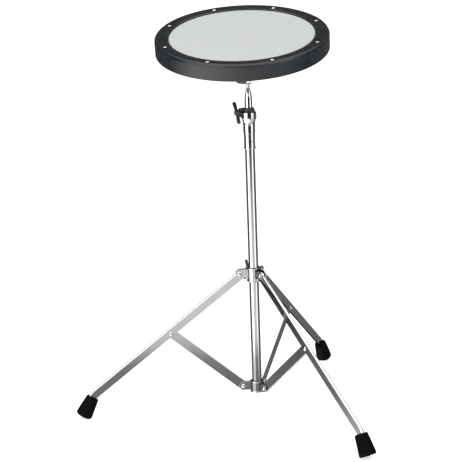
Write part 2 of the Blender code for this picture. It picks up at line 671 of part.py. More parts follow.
def build_clamp(axis):
    """Height clamp at the top of the tube: split body, guide bush, pinch bolt and wing nut."""
    holder = empty("clamp_holder", at(0.0, 0.0, CLAMP_TOP) @ about_z(NECK_HEADING + CLAMP_HEADING), axis)
    bore = TUBE_RADIUS + CLEARANCE
    skirt = bore + CLAMP_SKIRT_WALL
    cone_top = -CLAMP_BARREL_HEIGHT
    waist_top = cone_top - CLAMP_CONE_HEIGHT
    skirt_top = waist_top - CLAMP_WAIST_HEIGHT
    bottom = skirt_top - CLAMP_SKIRT_HEIGHT
    lip_top = bottom + CLAMP_LIP_HEIGHT
    body = turned("height_clamp", rounded([
        (CLAMP_BARREL_RADIUS, 0.0, CLAMP_TOP_ROUND), (CLAMP_BARREL_RADIUS, cone_top, EDGE_ROUND),
        (CLAMP_WAIST_RADIUS, waist_top, CLAMP_WAIST_ROUND), (CLAMP_WAIST_RADIUS, skirt_top, EDGE_ROUND),
        (skirt, skirt_top), (skirt, lip_top), (skirt + CLAMP_LIP, lip_top), (skirt + CLAMP_LIP, bottom),
        (bore, bottom), (bore, 0.0)]))
    place(body, holder, CHROME)
    ear_half = CLAMP_BARREL_RADIUS - CLEARANCE
    ear_front = bore + CLEARANCE
    ear_height = CLAMP_BARREL_HEIGHT - 2 * EDGE_ROUND
    ears = plate("clamp_ears", rounded([(-ear_half, ear_front), (ear_half, ear_front),
                                        (ear_half, CLAMP_EAR_REACH, CLAMP_EAR_ROUND),
                                        (-ear_half, CLAMP_EAR_REACH, CLAMP_EAR_ROUND)]), ear_height)
    middle = -CLAMP_BARREL_HEIGHT / 2
    join(body, ears, at(0.0, 0.0, middle))
    slit = block("clamp_slit", (CLAMP_SLIT, 2 * CLAMP_EAR_REACH, 2 * CLAMP_BARREL_HEIGHT))
    cut(body, slit, at(0.0, CLAMP_EAR_REACH, 0.0))
    bolt_hole = cylinder("clamp_bolt_hole", SCREW_HOLE, 4 * ear_half)
    cut(body, bolt_hole, at(0.0, CLAMP_BOLT_OFFSET, middle) @ TURN_TO_RIGHT)

    seat = ear_half + CLEARANCE
    shank = 2 * seat + WING_HUB_LENGTH
    bolt = turned("clamp_bolt", dome(BOLT_HEAD_RADIUS, BOLT_HEAD_HEIGHT, 0.0)
                  + [(SCREW_RADIUS, 0.0), (SCREW_RADIUS, -shank), (0.0, -shank)], SMALL_STEPS)
    place(bolt, holder, STEEL, at(seat, CLAMP_BOLT_OFFSET, middle) @ TURN_TO_RIGHT)
    wings_back = about_z(CLAMP_WING_TURN)
    place(wing_nut("clamp_wing_nut"), holder, DARK_CAST,
          at(-seat, CLAMP_BOLT_OFFSET, middle) @ TURN_TO_LEFT @ wings_back)

    bush_inner = ROD_RADIUS + SLIDE_CLEARANCE
    flange_bottom = CLEARANCE
    flange_top = flange_bottom + BUSH_FLANGE_HEIGHT
    bush_bottom = CLEARANCE - CLAMP_ABOVE_TUBE
    bush = turned("rod_bush", rounded([
        (TUBE_RADIUS + BUSH_FLANGE, flange_top, EDGE_ROUND), (TUBE_RADIUS + BUSH_FLANGE, flange_bottom),
        (TUBE_RADIUS, flange_bottom), (TUBE_RADIUS, bush_bottom), (bush_inner, bush_bottom),
        (bush_inner, flange_top)], 2))
    place(bush, holder, NYLON)


def build_tilter(neck, pad):
    """Two knuckles that lie face to face on the tilt axis, and the wing screw through both."""
    foot = CLEARANCE - PIVOT_ABOVE_ROD
    waist = -KNUCKLE_RADIUS - CLEARANCE
    lower = turned("tilter_base", [(0.0, 0.0), (NECK_WAIST_RADIUS, 0.0), (NECK_WAIST_RADIUS, waist),
                                   (ROD_TIP_RADIUS, foot), (STEM_RADIUS, foot),
                                   (STEM_RADIUS, foot - STEM_LENGTH), (0.0, foot - STEM_LENGTH)])
    place(lower, neck, CHROME)
    lower_face = LOWER_KNUCKLE_X - KNUCKLE_THICKNESS / 2
    relief = cylinder("tilter_relief", KNUCKLE_RADIUS + CLEARANCE, 2 * KNUCKLE_RADIUS, TUBE_STEPS)
    cut(lower, relief, at(lower_face - CLEARANCE / 3 - KNUCKLE_RADIUS, 0.0, 0.0) @ TURN_TO_RIGHT)
    join(lower, cylinder("tilter_base_knuckle", KNUCKLE_RADIUS, KNUCKLE_THICKNESS, TUBE_STEPS),
         at(LOWER_KNUCKLE_X, 0.0, 0.0) @ TURN_TO_RIGHT)
    cut(lower, cylinder("tilter_base_hole", SCREW_HOLE, 4 * KNUCKLE_THICKNESS), TURN_TO_RIGHT)

    shoulder_top = LOCK_NUT_BOTTOM - CLEARANCE
    shoulder_bottom = shoulder_top - STUD_SHOULDER_HEIGHT
    stud_top = FLOOR_TOP - CLEARANCE
    neck_radius = KNUCKLE_THICKNESS / 2 - CLEARANCE
    upper = turned("tilter_knuckle", [
        (0.0, stud_top), (STUD_RADIUS, stud_top), (STUD_RADIUS, shoulder_top),
        (STUD_SHOULDER_RADIUS, shoulder_top), (STUD_SHOULDER_RADIUS, shoulder_bottom),
        (neck_radius, shoulder_bottom - STUD_SHOULDER_HEIGHT), (neck_radius, 0.0), (0.0, 0.0)])
    place(upper, pad, CHROME, at(UPPER_KNUCKLE_X, 0.0, 0.0))
    join(upper, cylinder("tilter_knuckle_disc", KNUCKLE_RADIUS, KNUCKLE_THICKNESS, TUBE_STEPS), TURN_TO_RIGHT)
    cut(upper, cylinder("tilter_knuckle_hole", SCREW_HOLE, 4 * KNUCKLE_THICKNESS), TURN_TO_RIGHT)

    seat = UPPER_KNUCKLE_X - KNUCKLE_THICKNESS / 2 - CLEARANCE
    shank = LOWER_KNUCKLE_X + KNUCKLE_THICKNESS / 2 - seat
    wings_level = about_z(TILT_WING_TURN)
    place(wing_screw("tilter_wing_screw", shank), neck, DARK_CAST,
          at(seat, 0.0, 0.0) @ TURN_TO_LEFT @ wings_level)
    nut_middle = LOCK_NUT_BOTTOM + LOCK_NUT_HEIGHT / 2
    nut = plate("pad_lock_nut", circle((0.0, 0.0), LOCK_NUT_RADIUS, 6), LOCK_NUT_HEIGHT,
                [circle((0.0, 0.0), INSERT_HOLE)])
    place(nut, pad, STEEL, at(UPPER_KNUCKLE_X, 0.0, nut_middle))


def tension_place(index, height):
    """Place of a tension screw on its circle."""
    angle = TENSION_PHASE + index * 2 * math.pi / TENSION_COUNT
    return at(TENSION_CIRCLE_RADIUS * math.cos(angle), TENSION_CIRCLE_RADIUS * math.sin(angle), height)


def tension_pegs(name, radius, bottom, top):
    """One cutter or tool with a cylinder at each tension screw."""
    mesh = bpy.data.meshes.new(name)
    shape = bmesh.new()
    for index in range(TENSION_COUNT):
        bmesh.ops.create_cone(shape, cap_ends=True, segments=HOLE_STEPS, radius1=radius, radius2=radius,
                              depth=top - bottom, matrix=tension_place(index, (top + bottom) / 2))
    shape.to_mesh(mesh)
    shape.free()
    return bpy.data.objects.new(name, mesh)


def build_pad(holder):
    """Pad: rim, base, head with its hoop, foam, threaded insert and tension screws."""
    rim = turned("pad_rim", rounded([
        (PAD_RADIUS, RIM_TOP, RIM_ROUND), (PAD_RADIUS, PAD_ABOVE_PIVOT, EDGE_ROUND),
        (PAD_RADIUS - RIM_WALL, PAD_ABOVE_PIVOT), (PAD_RADIUS - RIM_WALL, FLANGE_BOTTOM),
        (HEAD_OPENING_RADIUS, FLANGE_BOTTOM), (HEAD_OPENING_RADIUS, RIM_TOP, RIM_INNER_ROUND)]), PAD_STEPS)
    place(rim, holder, CHARCOAL)
    cut(rim, tension_pegs("rim_holes", TENSION_HOLE, PAD_ABOVE_PIVOT, RIM_TOP + RIM_FLANGE))

    ring_outer = BEARING_RADIUS - CLEARANCE
    ring_inner = ring_outer - BEARING_WALL
    insert_bore = INSERT_RADIUS + CLEARANCE
    base = turned("pad_base", [
        (BASE_RADIUS, FLOOR_TOP), (BASE_RADIUS, FLOOR_BOTTOM), (BOSS_RADIUS, FLOOR_BOTTOM),
        (BOSS_RADIUS, BOSS_BOTTOM), (insert_bore, BOSS_BOTTOM), (insert_bore, FLOOR_TOP),
        (ring_inner, FLOOR_TOP), (ring_inner, BEARING_TOP), (ring_outer, BEARING_TOP),
        (ring_outer, FLOOR_TOP)], PAD_STEPS)
    place(base, holder, BASE_PLASTIC)
    post_bottom = (FLOOR_TOP + FLOOR_BOTTOM) / 2
    join(base, tension_pegs("base_posts", POST_RADIUS, post_bottom, FLANGE_BOTTOM - CLEARANCE))
    hole_bottom = RIM_TOP - TENSION_SHANK_LENGTH - CLEARANCE
    cut(base, tension_pegs("base_holes", TENSION_HOLE, hole_bottom, RIM_TOP))
    rib_start = (BOSS_RADIUS + insert_bore) / 2
    rib_end = BASE_RADIUS - RIM_WALL
    rib_bottom = PAD_ABOVE_PIVOT + CLEARANCE
    rib_size = (rib_end - rib_start, BASE_RIB_THICKNESS, post_bottom - rib_bottom)
    for index in range(TENSION_COUNT):
        rib = block(f"base_rib_{index + 1}", rib_size)
        turn = about_z(TENSION_PHASE + (index + 0.5) * 2 * math.pi / TENSION_COUNT)
        join(base, rib, turn @ at((rib_start + rib_end) / 2, 0.0, (post_bottom + rib_bottom) / 2))

    hoop_top = FLANGE_BOTTOM - CLEARANCE
    hoop_bottom = hoop_top - HOOP_HEIGHT
    place(turned("head_hoop", [(HOOP_OUTER, hoop_top), (HOOP_OUTER, hoop_bottom), (HOOP_INNER, hoop_bottom),
                               (HOOP_INNER, hoop_top)], PAD_STEPS), holder, ALUMINIUM)
    skirt = HOOP_INNER - CLEARANCE
    film = turned("drum_head", [
        (0.0, HEAD_TOP), (BEARING_RADIUS, HEAD_TOP),
        (BEARING_RADIUS + FILM_SHOULDER, HEAD_TOP - FILM_SHOULDER / 2), (skirt, hoop_bottom),
        (skirt - FILM, hoop_bottom),
        (BEARING_RADIUS + FILM_SHOULDER - FILM, HEAD_TOP - FILM - FILM_SHOULDER / 2),
        (BEARING_RADIUS, HEAD_TOP - FILM), (0.0, HEAD_TOP - FILM)], PAD_STEPS)
    place(film, holder, HEAD_FILM)
    foam_radius = ring_inner - CLEARANCE
    foam_bottom = FLOOR_TOP + CLEARANCE
    place(turned("foam_disc", [(0.0, BEARING_TOP), (foam_radius, BEARING_TOP), (foam_radius, foam_bottom),
                               (0.0, foam_bottom)], PAD_STEPS), holder, FOAM)
    place(turned("threaded_insert", [(INSERT_RADIUS, FLOOR_TOP - CLEARANCE), (INSERT_RADIUS, BOSS_BOTTOM),
                                     (INSERT_HOLE, BOSS_BOTTOM), (INSERT_HOLE, FLOOR_TOP - CLEARANCE)],
                 SMALL_STEPS), holder, BRASS)
    for index in range(TENSION_COUNT):
        screw = turned(f"tension_screw_{index + 1}", dome(TENSION_HEAD_RADIUS, TENSION_HEAD_HEIGHT, 0.0) + [
            (TENSION_SHANK_RADIUS, 0.0), (TENSION_SHANK_RADIUS, -TENSION_SHANK_LENGTH),
            (0.0, -TENSION_SHANK_LENGTH)], HOLE_STEPS)
        place(screw, holder, CHROME, tension_place(index, RIM_TOP + CLEARANCE))


def build():
    """Put the whole object together."""
    axis = empty("stand_axis", at(AXIS_X, 0.0, 0.0))
    neck = empty("neck", at(0.0, 0.0, TILT_Z) @ about_z(NECK_HEADING), axis)
    pad = empty("pad_tilt", Matrix.Rotation(TILT_ANGLE, 4, "X"), neck)
    stud = empty("pad_centre", at(UPPER_KNUCKLE_X, 0.0, 0.0), pad)
    build_mast(axis)
    build_legs(axis)
    build_clamp(axis)
    build_tilter(neck, pad)
    build_pad(stud)
    settle_meshes()


build()
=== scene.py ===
"""Looks of a tunable practice pad on a folding tripod stand: fine meshes, finishes, studio and camera."""
import json
import logging
import math
from collections.abc import Callable, Iterable, Sequence
from dataclasses import dataclass
from enum import Enum
from typing import Any

import bmesh
import bpy
from mathutils import Matrix, Vector


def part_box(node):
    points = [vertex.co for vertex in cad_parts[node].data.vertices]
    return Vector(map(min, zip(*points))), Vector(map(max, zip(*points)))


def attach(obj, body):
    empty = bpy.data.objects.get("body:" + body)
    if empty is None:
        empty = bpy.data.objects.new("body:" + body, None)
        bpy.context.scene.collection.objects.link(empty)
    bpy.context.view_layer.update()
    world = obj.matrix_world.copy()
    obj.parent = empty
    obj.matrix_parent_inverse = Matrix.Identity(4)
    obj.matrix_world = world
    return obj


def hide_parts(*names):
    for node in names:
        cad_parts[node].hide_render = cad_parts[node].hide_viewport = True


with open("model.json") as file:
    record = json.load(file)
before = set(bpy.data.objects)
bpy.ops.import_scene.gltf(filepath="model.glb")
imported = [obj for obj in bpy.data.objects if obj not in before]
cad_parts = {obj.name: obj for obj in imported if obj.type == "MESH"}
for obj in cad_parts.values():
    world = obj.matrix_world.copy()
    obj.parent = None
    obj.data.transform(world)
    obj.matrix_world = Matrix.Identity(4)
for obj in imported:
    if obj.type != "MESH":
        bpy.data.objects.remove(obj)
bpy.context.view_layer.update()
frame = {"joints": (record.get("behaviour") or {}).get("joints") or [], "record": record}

LOG = logging.getLogger("practice_pad")

Point2 = tuple[float, float]
Corner = tuple[float, ...]
Colour = tuple[float, float, float]
Stops = Sequence[tuple[float, float]]
Mesh = bpy.types.Mesh
Socket = bpy.types.NodeSocket
Placed = tuple[Mesh, Matrix]

# Lengths in metres that several pieces share
GAP = 0.0003
SLIDE_GAP = 0.00035
TUBE_RADIUS = 0.0085
ROD_RADIUS = 0.0065
ROD_TIP = 0.0032
STEM_RADIUS = 0.0018
STEM_LENGTH = 0.016
EAR_SHEET = 0.0018
RIVET_HOLE = 0.0027

# Edge roundings in metres
FAINT = 0.0002
CRISP = 0.0003
KEEN = 0.0004
EASED = 0.0005
SLIGHT = 0.0006
MILD = 0.0008
ROUNDED = 0.0010

# Angles in degrees above which an edge of a turned, flat, threaded or cast form stays sharp
SHARP = 34.0
PLATE_SHARP = 40.0
THREAD_SHARP = 60.0
CAST_SHARP = 80.0

# Below this angle of sharpness, faces square to an axis are shaded flat
FLAT_BELOW = 50.0
SQUARE = 0.99999

# Limits of the mesh tools: doubled points, points on the axis, and the share of an edge for one rounding
MERGE = 2e-6
TINY = 1e-7
EDGE_SHARE = 0.49

# Rows of points in one turn of a thread, and the depth of its run-out as a share of the full depth
THREAD_ROWS = 7
RUNOUT = 0.6

QUARTER = math.pi / 2
FULL_TURN = 2 * math.pi
STAND_UP = Matrix.Rotation(QUARTER, 4, "X")
TO_LEFT = Matrix.Rotation(-QUARTER, 4, "Y")
TO_RIGHT = Matrix.Rotation(QUARTER, 4, "Y")
LEG_NUMBERS = (1, 2, 3)


class Operation(Enum):
    """How a tool changes a mesh."""

    JOIN = "UNION"
    CUT = "DIFFERENCE"
    KEEP = "INTERSECT"


class Grain(Enum):
    """Pattern that a finish carries in its surface, as a stretch of its noise along x, y and z."""

    EVEN = (1.0, 1.0, 1.0)
    DRAWN_LENGTHWISE = (0.04, 1.0, 1.0)
    TURNED = (1.0, 1.0, 6.0)


def at(x: float, y: float, z: float) -> Matrix:
    """Translation matrix."""
    return Matrix.Translation((x, y, z))


def about_z(angle: float) -> Matrix:
    """Rotation about Z, angle in radians."""
    return Matrix.Rotation(angle, 4, "Z")


def fillet(points: Sequence[Corner], segments: int = 5) -> list[Point2]:
    """Round the corners of an outline.

    Args:
        points: Corners as (x, y), or (x, y, radius) for a rounded one.
        segments: Steps in each rounding.

    Returns:
        The outline's points; a radius is held to what its two edges leave room for.
    """
    path: list[Point2] = []
    count = len(points)
    for index, point in enumerate(points):
        corner = Vector(point[:2])
        radius = point[2] if len(point) > 2 else 0.0
        if radius == 0.0:
            path.append((corner.x, corner.y))
            continue
        back = Vector(points[index - 1][:2]) - corner
        ahead = Vector(points[(index + 1) % count][:2]) - corner
        half = back.angle(ahead) / 2
        reach = min(radius / math.tan(half), EDGE_SHARE * back.length, EDGE_SHARE * ahead.length)
        middle = corner + (back.normalized() + ahead.normalized()).normalized() * reach / math.cos(half)
        start = corner + back.normalized() * reach - middle
        sweep = start.angle_signed(corner + ahead.normalized() * reach - middle)
        for step in range(segments + 1):
            turned_point = middle + Matrix.Rotation(-sweep * step / segments, 2) @ start
            path.append((turned_point.x, turned_point.y))
    return path


def arc(centre: Point2, radius: float, start: float, end: float, segments: int) -> list[Point2]:
    """Points of an arc.

    Args:
        centre: Its centre.
        radius: Its radius.
        start: Angle of its first point in radians.
        end: Angle of its last point in radians.
        segments: Steps along it.

    Returns:
        The points, both ends included.
    """
    angles = [start + (end - start) * step / segments for step in range(segments + 1)]
    return [(centre[0] + radius * math.cos(angle), centre[1] + radius * math.sin(angle)) for angle in angles]


def circle(centre: Point2, radius: float, segments: int = 32) -> list[Point2]:
    """Points of a full circle."""
    return arc(centre, radius, 0.0, FULL_TURN, segments)[:-1]


def round_bar(first: Point2, first_radius: float, second: Point2, second_radius: float) -> list[Point2]:
    """Outline of a bar with two round ends, straight along its outer tangents.

    Args:
        first: Centre of one end.
        first_radius: Radius of that end.
        second: Centre of the other end.
        second_radius: Radius of the other end.

    Returns:
        The outline's points.
    """
    run = Vector(second) - Vector(first)
    heading = math.atan2(run.y, run.x)
    lean = math.acos((first_radius - second_radius) / run.length)
    return (arc(second, second_radius, heading - lean, heading + lean, segments=16)
            + arc(first, first_radius, heading + lean, heading + FULL_TURN - lean, segments=16))


def dome(radius: float, height: float, seat: float, segments: int = 8) -> list[Point2]:
    """Profile of a domed head, from its top on the axis to the rim of its seat."""
    angles = [QUARTER * step / segments for step in range(segments + 1)]
    return [(radius * math.sin(angle), seat + height * math.cos(angle)) for angle in angles]


def settle(shape: bmesh.types.BMesh, name: str, sharp: float = SHARP) -> Mesh:
    """Turn a bmesh into a mesh with clean normals.

    Args:
        shape: The bmesh, which is freed.
        name: Name of the mesh.
        sharp: Angle in degrees above which an edge stays sharp.

    Returns:
        The shaded mesh.
    """
    bmesh.ops.recalc_face_normals(shape, faces=shape.faces)
    mesh = bpy.data.meshes.new(name)
    shape.to_mesh(mesh)
    shape.free()
    mesh.shade_smooth()
    mesh.set_sharp_from_angle(angle=math.radians(sharp))
    if sharp < FLAT_BELOW:
        for face in mesh.polygons:
            face.use_smooth = max(map(abs, face.normal)) < SQUARE
    return mesh


def skin(shape: bmesh.types.BMesh, first: list[bmesh.types.BMVert], second: list[bmesh.types.BMVert]) -> None:
    """Faces between two rings of vertices; a ring of one vertex closes as a fan.

    Args:
        shape: The bmesh that gets the faces.
        first: One ring.
        second: The other ring.
    """
    count = max(len(first), len(second))
    for step in range(count):
        ahead = (step + 1) % count
        if len(first) == 1 and len(second) > 1:
            shape.faces.new((first[0], second[step], second[ahead]))
        elif len(second) == 1 and len(first) > 1:
            shape.faces.new((first[step], first[ahead], second[0]))
        elif len(first) > 1:
            shape.faces.new((first[step], first[ahead], second[ahead], second[step]))


def lathe(name: str, profile: Sequence[Point2], steps: int = 72) -> Mesh:
    """Turn a (radius, height) profile about Z.

    Args:
        name: Name of the mesh.
        profile: Points of the profile; a closed loop unless it starts on the axis.
        steps: Faces round the axis.

    Returns:
        A closed mesh.
    """
    shape = bmesh.new()
    rings = []
    for radius, height in profile:
        if radius < TINY:
            rings.append([shape.verts.new((0.0, 0.0, height))])
        else:
            rings.append([shape.verts.new((x, y, height)) for x, y in circle((0.0, 0.0), radius, steps)])
    count = len(rings)
    for index in range(count if profile[0][0] > TINY else count - 1):
        skin(shape, rings[index], rings[(index + 1) % count])
    return settle(shape, name)


def turned(name: str, corners: Sequence[Corner], steps: int = 72, segments: int = 5) -> Mesh:
    """Turn a profile with rounded corners about Z."""
    return lathe(name, fillet(corners, segments), steps)


def cylinder(name: str, radius: float, bottom: float, top: float, steps: int = 32) -> Mesh:
    """Plain cylinder on Z, mostly a cutter for a hole."""
    return lathe(name, [(0.0, top), (radius, top), (radius, bottom), (0.0, bottom)], steps)


def threaded(name: str, radius: float, pitch: float, bottom: float, top: float, steps: int = 28) -> Mesh:
    """Screw shank with a real helical thread that runs out at both ends.

    Args:
        name: Name of the mesh.
        radius: Outer radius.
        pitch: Height of one turn.
        bottom: Height of the lower end.
        top: Height of the upper end.
        steps: Faces round the axis.

    Returns:
        A closed mesh about Z.
    """
    shape = bmesh.new()
    depth = 0.5 * pitch
    rows = max(2, round((top - bottom) / pitch * THREAD_ROWS))
    rings = [[shape.verts.new((0.0, 0.0, bottom))]]
    for row in range(rows + 1):
        height = bottom + (top - bottom) * row / rows
        full = min(1.0, (height - bottom) / pitch, (top - height) / pitch)
        ring = []
        for step in range(steps):
            turn = step / steps
            wave = 0.5 - 0.5 * math.cos(FULL_TURN * (height / pitch - turn))
            local = radius - depth * (wave * full + RUNOUT * (1 - full))
            angle = FULL_TURN * turn
            ring.append(shape.verts.new((local * math.cos(angle), local * math.sin(angle), height)))
        rings.append(ring)
    rings.append([shape.verts.new((0.0, 0.0, top))])
    for first, second in zip(rings, rings[1:]):
        skin(shape, first, second)
    return settle(shape, name, THREAD_SHARP)


def evaluated_mesh(obj: bpy.types.Object) -> Mesh:
    """Mesh of an object with its modifiers; the object is removed.

    Args:
        obj: The object.

    Returns:
        A new mesh.
    """
    bpy.context.view_layer.update()
    graph = bpy.context.evaluated_depsgraph_get()
    mesh = bpy.data.meshes.new_from_object(obj.evaluated_get(graph))
    bpy.data.objects.remove(obj, do_unlink=True)
    return mesh


def scene_object(name: str, data: Any, matrix: Matrix = Matrix()) -> bpy.types.Object:
    """Object in the scene, for a finished piece or for one step of its making.

    Args:
        name: Name of the object.
        data: Its mesh, curve, camera or light.
        matrix: Its place.

    Returns:
        The object.
    """
    obj = bpy.data.objects.new(name, data)
    bpy.context.scene.collection.objects.link(obj)
    obj.matrix_world = matrix
    return obj


def reshade(mesh: Mesh, name: str, sharp: float = SHARP) -> Mesh:
    """Merge doubled points of a mesh and shade it again.

    Args:
        mesh: The mesh, which is removed.
        name: Name of the new mesh.
        sharp: Angle in degrees above which an edge stays sharp.

    Returns:
        The new mesh.
    """
    shape = bmesh.new()
    shape.from_mesh(mesh)
    bpy.data.meshes.remove(mesh)
    bmesh.ops.remove_doubles(shape, verts=shape.verts, dist=MERGE)
    return settle(shape, name, sharp)


def plate(name: str, outline: Iterable[Point2], thickness: float, edge: float,
          holes: Iterable[Iterable[Point2]] = ()) -> Mesh:
    """Flat plate in XY with rounded edges.

    Args:
        name: Name of the mesh.
        outline: Outer outline.
        thickness: Thickness along Z, centred on the XY plane.
        edge: Radius of the rounding on every edge.
        holes: Outlines of holes right through.

    Returns:
        A closed mesh.
    """
    curve = bpy.data.curves.new(name, "CURVE")
    curve.dimensions = "2D"
    curve.fill_mode = "BOTH"
    curve.extrude = thickness / 2 - edge
    curve.bevel_depth = edge
    curve.bevel_resolution = 2
    curve.offset = -edge
    for loop in (outline, *holes):
        points = list(loop)
        spline = curve.splines.new("POLY")
        spline.points.add(len(points) - 1)
        for point, (x, y) in zip(spline.points, points):
            point.co = (x, y, 0.0, 1.0)
        spline.use_cyclic_u = True
    return reshade(evaluated_mesh(scene_object(name, curve)), name, PLATE_SHARP)


def block(name: str, size: Corner, edge: float = 0.0) -> Mesh:
    """Box centred on its origin.

    Args:
        name: Name of the mesh.
        size: Lengths along x, y and z.
        edge: Radius of the rounding on every edge, or 0 for none.

    Returns:
        A closed mesh.
    """
    shape = bmesh.new()
    bmesh.ops.create_cube(shape, matrix=Matrix.Diagonal((*size, 1.0)))
    if edge:
        bmesh.ops.bevel(shape, geom=shape.edges[:], offset=edge, segments=3, profile=0.5, affect="EDGES")
    return settle(shape, name)


def combine(mesh: Mesh, *steps: tuple[Operation, Mesh, Matrix]) -> Mesh:
    """Join tools to a mesh or cut them away, one after the other.

    Args:
        mesh: The mesh to start from.
        steps: Operation, tool mesh and the tool's place, in the mesh's coordinates.

    Returns:
        The new mesh, in place of the old one.
    """
    name = mesh.name
    target = scene_object("work_" + name, mesh)
    tools = []
    for operation, tool_mesh, matrix in steps:
        tool = scene_object("tool", tool_mesh, matrix)
        tools.append(tool)
        modifier = target.modifiers.new("step", "BOOLEAN")
        modifier.operation = operation.value
        modifier.solver = "EXACT"
        modifier.object = tool
    result = evaluated_mesh(target)
    for tool in tools:
        bpy.data.objects.remove(tool, do_unlink=True)
    bpy.data.meshes.remove(mesh)
    return reshade(result, name)


def cast_form(name: str, parts: Iterable[Placed], voxel: float, passes: int) -> Mesh:
    """Melt overlapping parts into one form with soft inner corners, as a casting has.

    Args:
        name: Name of the mesh.
        parts: Meshes and their places.
        voxel: Size of the voxels that the form is rebuilt from.
        passes: Smoothing passes.

    Returns:
        A closed mesh.
    """
    shape = bmesh.new()
    for mesh, matrix in parts:
        piece = mesh.copy()
        piece.transform(matrix)
        shape.from_mesh(piece)
        bpy.data.meshes.remove(piece)
    obj = scene_object(name, settle(shape, name + "_parts"))
    remesh = obj.modifiers.new("melt", "REMESH")
    remesh.mode = "VOXEL"
    remesh.voxel_size = voxel
    smooth = obj.modifiers.new("soften", "SMOOTH")
    smooth.factor = 0.5
    smooth.iterations = passes
    return reshade(evaluated_mesh(obj), name, CAST_SHARP)


def gather(name: str, meshes: Iterable[Mesh], sharp: float = SHARP) -> Mesh:
    """One mesh of several closed shells that belong to one piece.

    Args:
        name: Name of the mesh.
        meshes: The shells, in one frame.
        sharp: Angle in degrees above which an edge stays sharp.

    Returns:
        The new mesh.
    """
    shape = bmesh.new()
    for mesh in meshes:
        shape.from_mesh(mesh)
    return settle(shape, name, sharp)


class Tree:
    """Short way to add and link the nodes of one node tree."""

    def __init__(self, tree: bpy.types.NodeTree) -> None:
        """Keep the tree's nodes and links."""
        self.nodes = tree.nodes
        self.links = tree.links

    def add(self, kind: str, inputs: dict[Any, Any] | None = None, **settings: Any) -> bpy.types.Node:
        """Add a shader node.

        Args:
            kind: Node type without its ShaderNode prefix.
            inputs: Values or sockets for the node's inputs, by name or number.
            settings: Properties of the node.

        Returns:
            The node.
        """
        node = self.nodes.new("ShaderNode" + kind)
        for key, value in settings.items():
            setattr(node, key, value)
        for key, value in (inputs or {}).items():
            if isinstance(value, bpy.types.NodeSocket):
                self.links.new(value, node.inputs[key])
            else:
                node.inputs[key].default_value = value
        return node

    def maths(self, operation: str, first: Any, second: Any = 0.0) -> Socket:
        """Output of a Math node."""
        return self.add("Math", {0: first, 1: second}, operation=operation).outputs[0]

    def ranged(self, value: Any, low: float, high: float, to_low: float = 0.0,
               to_high: float = 1.0) -> Socket:
        """Output of a clamped Map Range node."""
        return self.add("MapRange", {0: value, 1: low, 2: high, 3: to_low, 4: to_high}).outputs[0]

    def mixed(self, factor: Any, first: Any, second: Any) -> Socket:
        """Colour between two colours."""
        return self.add("Mix", {0: factor, 6: first, 7: second}, data_type="RGBA").outputs[2]

    def ramp(self, angle: Socket, whole: float, stops: Stops) -> Socket:
        """Grey value by an angle.

        Args:
            angle: The angle, as a share of the whole, with 0.5 for none.
            whole: Degrees in the whole range.
            stops: Grey values as (degrees, value), from the lowest angle up.

        Returns:
            The output of a colour ramp.
        """
        node = self.add("ValToRGB", {0: angle})
        band = node.color_ramp
        places = [degrees / whole + 0.5 for degrees, _ in stops]
        for place in places[2:]:
            band.elements.new(place)
        for element, place, (_, grey) in zip(band.elements, places, stops):
            element.position = place
            element.color = (grey, grey, grey, 1.0)
        return node.outputs[0]


Recipe = Callable[[Tree, Socket, Socket], Socket]


def effect_group(name: str, output: str, recipe: Recipe) -> bpy.types.NodeTree:
    """Shader node group with a place and a scale that puts out one value.

    Args:
        name: Name of the group.
        output: Name of its output.
        recipe: Adds the nodes between the inputs and the output, and returns the last socket.

    Returns:
        The group.
    """
    group = bpy.data.node_groups.new(name, "ShaderNodeTree")
    for label, kind in (("Vector", "NodeSocketVector"), ("Scale", "NodeSocketFloat")):
        group.interface.new_socket(label, in_out="INPUT", socket_type=kind)
    group.interface.new_socket(output, in_out="OUTPUT", socket_type="NodeSocketFloat")
    vector, scale = group.nodes.new("NodeGroupInput").outputs[:2]
    target = group.nodes.new("NodeGroupOutput")
    group.links.new(recipe(Tree(group), vector, scale), target.inputs[0])
    return group


